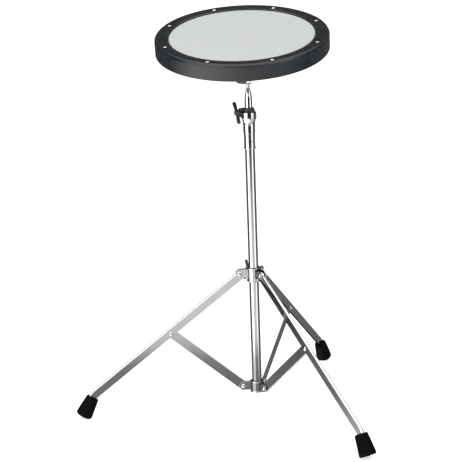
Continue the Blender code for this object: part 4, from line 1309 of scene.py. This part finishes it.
@dataclass
class HeightClamp:
    """Split clamp body at the top of the tube, its bush, bolt and wing nut."""

    above_tube: float = 0.0112
    barrel: float = 0.0129
    barrel_height: float = 0.0170
    top_round: float = 0.0035
    bead: float = 0.0003
    bead_height: float = 0.0018
    bead_start: float = 0.0022
    cone_inset: float = 0.0009
    cone_drop: float = 0.0006
    cone_height: float = 0.0120
    cone_steps: int = 10
    waist: float = 0.0103
    waist_height: float = 0.0137
    waist_run: float = 0.001
    skirt_wall: float = 0.0008
    skirt_height: float = 0.0268
    lip: float = 0.0007
    lip_height: float = 0.0028
    groove: float = -0.0564
    groove_half: float = 0.0007
    groove_floor: float = 0.0002
    groove_depth: float = 0.0005
    ear_reach: float = 0.0190
    ear_corner: float = 0.004
    ear_trim: float = 0.002
    ear_edge: float = 0.0012
    bolt_offset: float = 0.0133
    bolt_reach: float = 0.04
    thread_overlap: float = 0.001
    slit: float = 0.0022
    head_radius: float = 0.0065
    head_height: float = 0.0042
    flange: float = 0.0006
    flange_height: float = 0.0006
    wing_turn: float = math.radians(32.0)

    def profile(self) -> list[Point2]:
        """Profile of the turned body.

        Returns:
            Points in (radius, height), heights from the clamp's top.
        """
        bore = TUBE_RADIUS + GAP
        skirt = bore + self.skirt_wall
        cone_top = -self.barrel_height
        waist_top = cone_top - self.cone_height
        skirt_top = waist_top - self.waist_height
        bottom = skirt_top - self.skirt_height
        lip_top = bottom + self.lip_height
        beaded, cone = self.barrel + self.bead, self.barrel - self.cone_inset
        cone_start = cone_top - self.cone_drop
        shares = [step / self.cone_steps for step in range(self.cone_steps + 1)]
        points = fillet([
            (self.barrel, 0.0, self.top_round), (self.barrel, cone_top + self.bead_start, KEEN),
            (beaded, cone_top + self.bead_height, CRISP), (beaded, cone_top, SLIGHT),
            (cone, cone_start)])[:-1]
        points += [(self.waist + (cone - self.waist) * (1 - math.sin(QUARTER * share)),
                    cone_start - (self.cone_height - self.cone_drop) * share) for share in shares]
        floor = skirt - self.groove_depth
        points += fillet([
            (self.waist, waist_top - self.waist_run), (self.waist, skirt_top, EASED),
            (skirt, skirt_top, KEEN),
            (skirt, self.groove + self.groove_half), (floor, self.groove + self.groove_floor),
            (floor, self.groove - self.groove_floor), (skirt, self.groove - self.groove_half),
            (skirt, lip_top, CRISP), (skirt + self.lip, lip_top, KEEN), (skirt + self.lip, bottom, EASED),
            (bore, bottom, CRISP), (bore, 0.0, KEEN)])
        return points

    def body_mesh(self, bolt: float) -> Mesh:
        """Turned body with pinch ears, a slit between them and the bolt's hole.

        Args:
            bolt: Radius of the bolt.

        Returns:
            A closed mesh.
        """
        body = lathe("clamp_body", self.profile(), steps=96)
        half = self.barrel - GAP
        root = TUBE_RADIUS + 2 * GAP
        middle = -self.barrel_height / 2
        outline = fillet([(-half, root), (half, root), (half, self.ear_reach, self.ear_corner),
                          (-half, self.ear_reach, self.ear_corner)])
        ears = plate("ears", outline, self.barrel_height - self.ear_trim, self.ear_edge)
        slit = block("slit", (self.slit, 2 * self.ear_reach, 2 * self.barrel_height))
        hole = cylinder("bolt_hole", bolt + GAP, -self.bolt_reach, self.bolt_reach)
        return combine(body, (Operation.JOIN, ears, at(0.0, 0.0, middle)),
                       (Operation.CUT, slit, at(0.0, self.ear_reach, 0.0)),
                       (Operation.CUT, hole, at(0.0, self.bolt_offset, middle) @ TO_RIGHT))

    def build(self, shop: Workshop, datum: Datum) -> None:
        """Build and dress the clamp.

        Args:
            shop: Takes the finished pieces.
            datum: Where the stand's joints are.
        """
        place = datum.axis(datum.clamp_top) @ about_z(datum.clamp_heading)
        wings = WingFastener()
        shop.present(self.body_mesh(wings.screw), "clamp_body", "chrome", "stand", place, ["height_clamp"])
        middle = -self.barrel_height / 2
        seat = self.barrel
        shank = 2 * seat + wings.hub_length
        head = lathe("bolt_head", dome(self.head_radius, self.head_height, 0.0, segments=12)
                     + [(wings.screw, 0.0), (wings.screw, -seat), (0.0, -seat)], steps=48)
        thread = threaded("bolt_thread", wings.screw, wings.pitch, -shank, -seat + self.thread_overlap)
        shop.present(gather("carriage_bolt", [head, thread]), "carriage_bolt", "plated_steel", "stand",
                     place @ at(seat, self.bolt_offset, middle) @ TO_RIGHT, ["clamp_bolt"])
        shop.present(wings.nut_mesh("clamp_wings"), "clamp_wings", "dark_cast_metal", "clamp_nut",
                     place @ at(-seat, self.bolt_offset, middle) @ TO_LEFT @ about_z(self.wing_turn),
                     ["clamp_wing_nut"])
        top = GAP + self.flange_height
        low = GAP - self.above_tube
        inner = ROD_RADIUS + SLIDE_GAP
        outer = TUBE_RADIUS + self.flange
        bush = turned("bush", [
            (outer, top, KEEN), (outer, GAP, FAINT), (TUBE_RADIUS, GAP), (TUBE_RADIUS, low, KEEN),
            (inner, low, CRISP), (inner, top, KEEN)], steps=72)
        shop.present(bush, "bush", "nylon", "stand", place, ["rod_bush"])


@dataclass
class Tilter:
    """Two knuckles face to face on the tilt axis, their wing screw, the stud and its lock nut."""

    radius: float = 0.0060
    thickness: float = 0.0080
    edge: float = 0.0009
    shift: float = 0.0020
    above_rod: float = 0.0127
    neck: float = 0.0028
    stud: float = 0.0040
    stud_pitch: float = 0.00125
    stud_sunk: float = 0.001
    shoulder: float = 0.0062
    shoulder_height: float = 0.0050
    throat_round: float = 0.002
    nut_radius: float = 0.0090
    nut_height: float = 0.0065
    nut_flat: float = 0.0035
    nut_past: float = 0.0012
    nut_corner: float = 0.0015
    nut_crown: float = 0.0025
    wing_turn: float = math.radians(90.0)

    def disc(self, name: str) -> Mesh:
        """Round knuckle with rounded edges, centred on its origin."""
        half = self.thickness / 2
        return turned(name, [(0.0, half), (self.radius, half, self.edge), (self.radius, -half, self.edge),
                             (0.0, -half)], steps=64)

    def hole(self, screw: float) -> Mesh:
        """Cutter for the wing screw's hole."""
        return cylinder("pin_hole", screw + GAP, -2 * self.thickness, 2 * self.thickness)

    def base_mesh(self, screw: float) -> Mesh:
        """Lower knuckle about the tilt axis, with its stem in the rod.

        Args:
            screw: Radius of the wing screw.

        Returns:
            A closed mesh.
        """
        foot = GAP - self.above_rod
        end = foot - STEM_LENGTH
        base = lathe("knuckle_base", [
            (0.0, 0.0), (self.neck, 0.0), (self.neck, -self.radius - GAP), (ROD_TIP, foot),
            (STEM_RADIUS, foot), (STEM_RADIUS, end), (0.0, end)])
        relief = cylinder("relief", self.radius + GAP, -2 * self.radius, 0.0, steps=64)
        face = self.shift - self.thickness / 2
        return combine(base, (Operation.CUT, relief, at(face - GAP / 3, 0.0, 0.0) @ TO_RIGHT),
                       (Operation.JOIN, self.disc("base_disc"), at(self.shift, 0.0, 0.0) @ TO_RIGHT),
                       (Operation.CUT, self.hole(screw), TO_RIGHT))

    def stud_mesh(self, screw: float, shoulder_top: float, stud_top: float) -> Mesh:
        """Upper knuckle about the tilt axis, with the pad's stud.

        Args:
            screw: Radius of the wing screw.
            shoulder_top: Height of the shoulder under the lock nut.
            stud_top: Height of the stud's end.

        Returns:
            Knuckle and stud in one mesh.
        """
        shoulder_low = shoulder_top - self.shoulder_height
        throat = self.thickness / 2 - GAP
        stem = turned("knuckle_stem", [
            (0.0, shoulder_top), (self.shoulder, shoulder_top, SLIGHT), (self.shoulder, shoulder_low, MILD),
            (throat, shoulder_low - self.shoulder_height, self.throat_round), (throat, 0.0), (0.0, 0.0)])
        stem = combine(stem, (Operation.JOIN, self.disc("stem_disc"), TO_RIGHT),
                       (Operation.CUT, self.hole(screw), TO_RIGHT))
        thread = threaded("stud_thread", self.stud, self.stud_pitch, shoulder_top - self.stud_sunk, stud_top)
        return gather("knuckle_stud", [stem, thread])

    def nut_mesh(self) -> Mesh:
        """Hexagon nut with turned corners, centred on its origin.

        Returns:
            A closed mesh.
        """
        half = self.nut_height / 2
        hexagon = plate("lock_nut", circle((0.0, 0.0), self.nut_radius, segments=6), self.nut_height, FAINT,
                        [circle((0.0, 0.0), self.stud + GAP)])
        flat, corner = self.nut_radius - self.nut_flat, self.nut_radius + self.nut_past
        upper = [(0.0, half + self.nut_crown), (flat, half + self.nut_past), (corner, half - self.nut_corner)]
        cone = lathe("nut_cone", upper + [(radius, -height) for radius, height in reversed(upper)], steps=64)
        return combine(hexagon, (Operation.KEEP, cone, Matrix()))

    def build(self, shop: Workshop, datum: Datum, pad: "PracticePad") -> None:
        """Build and dress the tilter.

        Args:
            shop: Takes the finished pieces.
            datum: Where the stand's joints are.
            pad: The pad that it carries.
        """
        wings = WingFastener()
        base = self.base_mesh(wings.screw)
        shop.present(base, "knuckle_base", "chrome", "rod", datum.neck, ["tilter_base"])
        nut_bottom = pad.boss_bottom - GAP - self.nut_height
        knuckle = self.stud_mesh(wings.screw, nut_bottom - GAP, pad.floor_top - GAP)
        centre = pad.place(datum)
        shop.present(knuckle, "knuckle_stud", "dark_cast_metal", "pad", centre, ["tilter_knuckle"])
        shop.present(self.nut_mesh(), "lock_nut", "plated_steel", "pad",
                     centre @ at(0.0, 0.0, nut_bottom + self.nut_height / 2), ["pad_lock_nut"])
        offset = self.shift - self.thickness - GAP
        seat = offset - self.thickness / 2 - GAP
        screw = wings.screw_mesh("tilter_wings", self.shift + self.thickness / 2 - seat)
        shop.present(screw, "tilter_wings", "dark_cast_metal", "tilt_screw",
                     datum.neck @ at(seat, 0.0, 0.0) @ TO_LEFT @ about_z(self.wing_turn),
                     ["tilter_wing_screw"])


# Edge of the head as (distance past the bearing edge, drop below the playing surface)
HEAD_EDGE = ((-0.002, 0.0), (0.0, 0.00008), (0.0009, 0.00032), (0.0016, 0.0008))


@dataclass
class PracticePad:
    """Rim, base, head, hoop, foam, insert and tension screws; heights count from the tilt axis."""

    radius: float = 0.146
    bottom: float = 0.0608
    rim_height: float = 0.0245
    rim_drop: float = 0.0045
    wall: float = 0.0035
    flange: float = 0.0040
    round_edge: float = 0.0065
    foot_round: float = 0.0024
    opening: float = 0.1232
    lip: float = 0.0030
    lip_drop: float = 0.0012
    lip_round: float = 0.0020
    crest_round: float = 0.0300
    inner_fall: float = 0.0012
    outer_fall: float = 0.0005
    recess: float = 0.0025
    film: float = 0.0006
    film_slant: float = 0.7
    bearing_setback: float = 0.0032
    bearing_wall: float = 0.0030
    bearing_round: float = 0.0012
    base_recess: float = 0.0030
    base_floor: float = 0.0040
    rib: float = 0.0024
    ring_ribs: Corner = (0.055, 0.098)
    boss_radius: float = 0.0150
    boss_drop: float = 0.0060
    boss_taper: float = 0.002
    insert: float = 0.0070
    stud_hole: float = 0.0043
    hoop_gap: float = 0.0017
    hoop_wall: float = 0.0035
    hoop_height: float = 0.0070
    foam_round: float = 0.0015
    screws: int = 8
    screw_circle: float = 0.1346
    screw_phase: float = math.radians(23.7)
    screw_turn: float = math.radians(37.0)
    screw_shank: float = 0.0024
    screw_length: float = 0.0140
    screw_pitch: float = 0.0008
    screw_sunk: float = 0.0006
    screw_head: float = 0.0045
    screw_height: float = 0.0024
    dome_share: float = 0.86
    dome_bottom: float = 0.0003
    washer: float = 0.0005
    cross: Corner = (0.0036, 0.0009, 0.0024)
    seat_depth: float = 0.0026
    seat_gap: float = 0.0007
    drill_above: float = 0.01
    drill_below: float = 0.004
    post_wall: float = 0.0022

    @property
    def top(self) -> float:
        """Height of the rim's top."""
        return self.bottom + self.rim_height

    @property
    def under(self) -> float:
        """Height of the under side of the rim's flange."""
        return self.top - self.flange

    @property
    def seat(self) -> float:
        """Height of the counterbores under the screws' heads."""
        return self.top - self.seat_depth

    @property
    def head_top(self) -> float:
        """Height of the playing surface."""
        return self.top - self.recess

    @property
    def film_bottom(self) -> float:
        """Height of what the head lies on."""
        return self.head_top - self.film - GAP

    @property
    def floor_bottom(self) -> float:
        """Height of the base's under side."""
        return self.bottom + self.base_recess

    @property
    def floor_top(self) -> float:
        """Height of the base's inner floor."""
        return self.floor_bottom + self.base_floor

    @property
    def boss_bottom(self) -> float:
        """Height of the base boss's end."""
        return self.bottom - self.boss_drop

    @property
    def bearing(self) -> float:
        """Radius of the edge that the head is drawn over."""
        return self.opening - self.bearing_setback

    def place(self, datum: Datum) -> Matrix:
        """Pad frame on the stud, its origin level with the tilt axis."""
        return datum.head @ at(0.0, 0.0, -self.head_top)

    def screw_place(self, index: int, height: float) -> Matrix:
        """Place of a tension screw in the pad frame."""
        angle = self.screw_phase + index * FULL_TURN / self.screws
        return at(self.screw_circle * math.cos(angle), self.screw_circle * math.sin(angle), height)

    def at_screws(self, operation: Operation, tool: Mesh) -> list[tuple[Operation, Mesh, Matrix]]:
        """The same step at every tension screw."""
        return [(operation, tool.copy(), self.screw_place(index, 0.0)) for index in range(self.screws)]

    def rim_mesh(self) -> Mesh:
        """Moulded rim: its top falls both ways from the screws, which sit in counterbores.

        Returns:
            A closed mesh.
        """
        foot = self.bottom - self.rim_drop
        inner = self.top - self.inner_fall
        ring = turned("rim", [
            (self.radius, self.top - self.outer_fall, self.round_edge), (self.radius, foot, self.foot_round),
            (self.radius - self.wall, foot, SLIGHT), (self.radius - self.wall, self.under, MILD),
            (self.opening, self.under, EASED), (self.opening, inner - self.lip_drop, MILD),
            (self.opening + self.lip, inner, self.lip_round),
            (self.screw_circle, self.top, self.crest_round)], steps=240, segments=9)
        bore = self.screw_shank + GAP
        counterbore = self.screw_head + self.seat_gap
        start, end = self.top + self.drill_above, self.under - self.drill_below
        drill = turned("screw_hole", [
            (0.0, start), (counterbore, start), (counterbore, self.seat, KEEN), (bore, self.seat),
            (bore, end), (0.0, end)], steps=40, segments=3)
        return combine(ring, *self.at_screws(Operation.CUT, drill))

    def base_mesh(self) -> Mesh:
        """Moulded base: floor, boss, bearing ring, screw posts and ribs under it.

        Returns:
            A closed mesh.
        """
        outer = self.radius - self.wall - GAP
        ring_out = self.bearing - GAP
        ring_in = ring_out - self.bearing_wall
        bore = self.insert + GAP
        base = turned("base", [
            (outer, self.floor_top, EASED), (outer, self.floor_bottom, MILD),
            (self.boss_radius + self.boss_taper, self.floor_bottom, self.boss_taper),
            (self.boss_radius, self.boss_bottom, ROUNDED), (bore, self.boss_bottom), (bore, self.floor_top),
            (ring_in, self.floor_top, MILD), (ring_in, self.film_bottom, ROUNDED),
            (ring_out, self.film_bottom, self.bearing_round), (ring_out, self.floor_top, MILD)], steps=180)
        middle = (self.floor_top + self.floor_bottom) / 2
        hole = self.screw_shank + GAP
        post = cylinder("post", hole + self.post_wall, middle, self.under - GAP)
        drill = cylinder("drill", hole, self.seat - self.screw_length - GAP, self.top, steps=24)
        rib_bottom = self.bottom + GAP
        start, end = (self.boss_radius + bore) / 2, outer - self.wall
        rib = block("rib", (end - start, self.rib, middle - rib_bottom), SLIGHT)
        rib_place = at((start + end) / 2, 0.0, (middle + rib_bottom) / 2)
        steps = []
        for index, post_step in enumerate(self.at_screws(Operation.JOIN, post)):
            turn = about_z(self.screw_phase + (index + 0.5) * FULL_TURN / self.screws)
            steps += [(Operation.JOIN, rib.copy(), turn @ rib_place), post_step]
        for radius in self.ring_ribs:
            wide, narrow = radius + self.rib / 2, radius - self.rib / 2
            ring = turned("ring_rib", [(wide, middle), (wide, rib_bottom, EASED), (narrow, rib_bottom, EASED),
                                       (narrow, middle)], steps=120)
            steps.append((Operation.JOIN, ring, Matrix()))
        return combine(base, *steps, *self.at_screws(Operation.CUT, drill))

    def head_mesh(self, skirt: float, hem: float) -> Mesh:
        """Coated head drawn over the bearing edge and down into its hoop.

        Args:
            skirt: Radius of its lower edge.
            hem: Height of its lower edge.

        Returns:
            A closed mesh.
        """
        outer = [(0.0, self.head_top), (self.bearing * 0.5, self.head_top)]
        outer += [(self.bearing + past, self.head_top - drop) for past, drop in HEAD_EDGE]
        inner = [(max(0.0, radius - self.film * self.film_slant), height - self.film)
                 for radius, height in reversed(outer)]
        return lathe("head", outer + [(skirt, hem), (skirt - self.film, hem)] + inner, steps=192)

    def screw_mesh(self) -> Mesh:
        """Tension screw with a washer, a cross recess and a threaded shank.

        Returns:
            The three shells in one mesh.
        """
        wide = self.screw_head * self.dome_share
        head = lathe("screw_head", dome(wide, self.screw_height - self.washer, self.washer, segments=10)
                     + [(wide, self.dome_bottom), (0.0, self.dome_bottom)], steps=48)
        slot = block("slot", self.cross)
        lift = at(0.0, 0.0, self.screw_height)
        head = combine(head, (Operation.CUT, slot, lift),
                       (Operation.CUT, slot.copy(), lift @ about_z(QUARTER)))
        washer = turned("washer", [
            (self.screw_head, self.washer, FAINT), (self.screw_head, 0.0, FAINT), (self.screw_shank, 0.0),
            (self.screw_shank, self.washer)], steps=48)
        thread = threaded("screw_thread", self.screw_shank, self.screw_pitch, -self.screw_length,
                          self.screw_sunk, steps=20)
        return gather("tension_screw_fine", [head, washer, thread])

    def build(self, shop: Workshop, datum: Datum) -> None:
        """Build and dress the pad.

        Args:
            shop: Takes the finished pieces.
            datum: Where the stand's joints are.
        """
        place = self.place(datum)
        shop.present(self.rim_mesh(), "rim", "charcoal_plastic", "pad", place, ["pad_rim"])
        shop.present(self.base_mesh(), "base", "base_plastic", "pad", place, ["pad_base"])
        hoop_outer = self.screw_circle - self.screw_shank - GAP - self.post_wall - self.hoop_gap
        hoop_inner = hoop_outer - self.hoop_wall
        hoop_top = self.under - GAP
        hem = hoop_top - self.hoop_height
        hoop = turned("hoop", [(hoop_outer, hoop_top, SLIGHT), (hoop_outer, hem, SLIGHT),
                               (hoop_inner, hem, SLIGHT), (hoop_inner, hoop_top, SLIGHT)], steps=160)
        shop.present(hoop, "hoop", "aluminium", "pad", place, ["head_hoop"])
        head = self.head_mesh(hoop_inner - GAP, hem)
        shop.present(head, "head", "coated_film", "pad", place, ["drum_head"])
        foam_radius = self.bearing - GAP - self.bearing_wall - GAP
        foam_bottom = self.floor_top + GAP
        foam = turned("foam", [
            (0.0, self.film_bottom), (foam_radius, self.film_bottom, self.foam_round),
            (foam_radius, foam_bottom, ROUNDED), (0.0, foam_bottom)], steps=120)
        shop.present(foam, "foam", "foam", "pad", place, ["foam_disc"])
        insert_top = self.floor_top - GAP
        insert = turned("insert", [
            (self.insert, insert_top, KEEN), (self.insert, self.boss_bottom, KEEN),
            (self.stud_hole, self.boss_bottom, CRISP), (self.stud_hole, insert_top, CRISP)], steps=48)
        shop.present(insert, "insert", "brass", "pad", place, ["threaded_insert"])
        screw = self.screw_mesh()
        for index in range(self.screws):
            turn = about_z(self.screw_turn * index)
            shop.present(screw.copy(), f"tension_screw_fine_{index + 1}", "chrome", "pad",
                         place @ self.screw_place(index, self.seat + GAP) @ turn,
                         [f"tension_screw_{index + 1}"])


# Brightness that polished metal sees, by azimuth: 0 is towards the camera, left is negative
SIDES = ((-180, 0.03), (-125, 0.03), (-82, 0.016), (-70, 0.80), (-30, 0.80), (30, 0.56), (66, 0.56),
         (76, 0.016), (95, 0.03), (112, 0.055), (140, 0.055), (180, 0.03))
BENEATH = ((-180, 0.05), (-125, 0.07), (-84, 0.06), (-72, 0.27), (-30, 0.27), (30, 0.15), (66, 0.15),
           (76, 0.03), (95, 0.05), (112, 0.06), (140, 0.06), (180, 0.05))
GROUND = ((-180, 0.05), (-125, 0.09), (-100, 1.0), (-72, 1.0), (-45, 0.80), (0, 0.42), (45, 0.26), (85, 0.20),
          (125, 0.05), (180, 0.05))
OVER = ((-180, 0.12), (-150, 0.25), (-115, 0.90), (-60, 0.90), (60, 0.70), (125, 0.90), (155, 0.25),
        (180, 0.12))

# Brightness straight ahead of metal that faces the camera, by elevation
AHEAD = ((-36, 0.40), (-26, 0.24), (-20, 0.07), (-17.6, 0.075), (-17.2, 0.25), (-16.4, 0.26), (-15, 0.28),
         (-12.8, 0.23), (-11.2, 0.17), (-10, 0.075), (-9.4, 0.05), (-9, 0.008), (4, 0.006), (14, 0.30),
         (26, 0.60))

# Shares of the front by azimuth, and of what lies beneath, on the ground and overhead by elevation
FRONT_SHARE = ((-31, 0.0), (-20, 1.0), (31, 1.0), (43, 0.0))
BENEATH_SHARE = ((-17.8, 1.0), (-16.6, 0.0))
GROUND_SHARE = ((-28, 1.0), (-19, 0.0))
OVER_SHARE = ((28, 0.0), (46, 0.10), (60, 1.0))

# Area lights as (name, place, size, power)
LAMPS = (("key", (-1.6, -1.4, 2.2), 1.6, 22.0), ("fill", (1.8, -1.0, 1.6), 1.4, 6.0))
WHITE = (1.0, 1.0, 1.0, 1.0)


@dataclass(frozen=True)
class Studio:
    """Camera at the photograph's angle, a pale floor and a soft studio round the object."""

    eye: Corner = (-0.1094, -2.4039, 0.8572)
    yaw: float = math.radians(3.538)
    pitch: float = math.radians(12.471)
    roll: float = math.radians(-1.962)
    lens: float = 111.33
    sensor: float = 36.0
    view_length: float = 60.0
    floor_radius: float = 30.0
    floor_drop: float = 0.0002
    floor_glow: float = 0.62
    ambient: float = 0.86
    polish: float = 2.6
    lamp_target: Corner = (0.05, 0.0, 0.45)

    def camera(self) -> None:
        """Make the camera."""
        along = math.cos(self.pitch)
        forward = Vector((math.sin(self.yaw) * along, math.cos(self.yaw) * along, -math.sin(self.pitch)))
        level = Vector((math.cos(self.yaw), -math.sin(self.yaw), 0.0))
        upright = level.cross(forward)
        right = level * math.cos(self.roll) + upright * math.sin(self.roll)
        up = upright * math.cos(self.roll) - level * math.sin(self.roll)
        data = bpy.data.cameras.new("camera")
        data.sensor_width = self.sensor
        data.lens = self.lens
        data.clip_end = self.view_length
        turn = Matrix((right, up, -forward)).transposed().to_4x4()
        bpy.context.scene.camera = scene_object("camera", data, Matrix.Translation(self.eye) @ turn)

    def floor(self) -> None:
        """Make the pale floor."""
        shape = bmesh.new()
        bmesh.ops.create_circle(shape, cap_ends=True, segments=96, radius=self.floor_radius)
        mesh = settle(shape, "floor")
        material = bpy.data.materials.new("pale_floor")
        material.use_nodes = True
        tree = Tree(material.node_tree)
        shader = material.node_tree.nodes["Principled BSDF"]
        coordinates = tree.add("TexCoord").outputs["Object"]
        cloud = tree.add("TexNoise", {"Vector": coordinates, "Scale": 0.8, "Detail": 2.0}).outputs[0]
        colour = tree.mixed(cloud, (0.80, 0.80, 0.80, 1.0), (0.82, 0.82, 0.82, 1.0))
        tree.links.new(colour, shader.inputs["Base Color"])
        shader.inputs["Roughness"].default_value = 0.9
        shader.inputs["Specular IOR Level"].default_value = 0.0
        shader.inputs["Emission Color"].default_value = WHITE
        shader.inputs["Emission Strength"].default_value = self.floor_glow
        mesh.materials.append(material)
        floor = scene_object("floor", mesh, at(0.0, 0.0, -self.floor_drop))
        floor.visible_glossy = False

    def world(self) -> None:
        """Soft boxes left and right, a dim room behind and a lit floor, as polished metal sees them."""
        world = bpy.data.worlds.new("studio")
        world.use_nodes = True
        bpy.context.scene.world = world
        world.node_tree.nodes.clear()
        tree = Tree(world.node_tree)
        direction = tree.add("TexCoord").outputs["Generated"]
        rotated = tree.add("VectorRotate", {"Vector": direction, "Angle": self.yaw}, rotation_type="Z_AXIS")
        x, y, z = tree.add("SeparateXYZ", {0: rotated.outputs[0]}).outputs
        round_about = tree.maths("ARCTAN2", x, tree.maths("MULTIPLY", y, -1.0))
        azimuth = tree.maths("ADD", tree.maths("DIVIDE", round_about, FULL_TURN), 0.5)
        rise = tree.maths("ADD", tree.maths("DIVIDE", tree.maths("ARCSINE", z), math.pi), 0.5)
        sides, beneath, ground, over, front = (
            tree.ramp(azimuth, 360.0, stops) for stops in (SIDES, BENEATH, GROUND, OVER, FRONT_SHARE))
        ahead, beneath_share, ground_share, over_share = (
            tree.ramp(rise, 180.0, stops) for stops in (AHEAD, BENEATH_SHARE, GROUND_SHARE, OVER_SHARE))
        middle = tree.mixed(front, tree.mixed(beneath_share, sides, beneath), ahead)
        seen = tree.mixed(over_share, tree.mixed(ground_share, middle, ground), over)
        path = tree.add("LightPath").outputs
        soft, polished, white = (
            tree.add("Background", {"Color": colour, "Strength": strength}).outputs[0]
            for colour, strength in ((WHITE, self.ambient), (seen, self.polish), (WHITE, 1.0)))
        inner = tree.add("MixShader", {0: path["Is Glossy Ray"], 1: soft, 2: polished}).outputs[0]
        outer = tree.add("MixShader", {0: path["Is Camera Ray"], 1: inner, 2: white}).outputs[0]
        tree.add("OutputWorld", {0: outer})

    def lights(self) -> None:
        """A large key light from the upper left and a weak fill from the right."""
        for name, place, size, power in LAMPS:
            data = bpy.data.lights.new(name, "AREA")
            data.shape = "DISK"
            data.size = size
            data.energy = power
            light = scene_object(name, data)
            light.location = place
            light.rotation_mode = "QUATERNION"
            light.rotation_quaternion = (Vector(self.lamp_target) - Vector(place)).to_track_quat("-Z", "Y")
            light.visible_glossy = False

    def build(self) -> None:
        """Set up the whole studio."""
        bpy.context.scene.view_settings.view_transform = "Standard"
        self.camera()
        self.floor()
        self.world()
        self.lights()


def main() -> None:
    """Build every sub-assembly, then the studio."""
    logging.basicConfig(level=logging.INFO, format="%(message)s")
    shop = Workshop()
    datum = Datum()
    pad = PracticePad()
    pad.build(shop, datum)
    Tilter().build(shop, datum, pad)
    Mast().build(shop, datum)
    HeightClamp().build(shop, datum)
    Hub().build(shop, datum)
    LegSet().build(shop, datum)
    Studio().build()


if __name__ == "__main__":
    main()
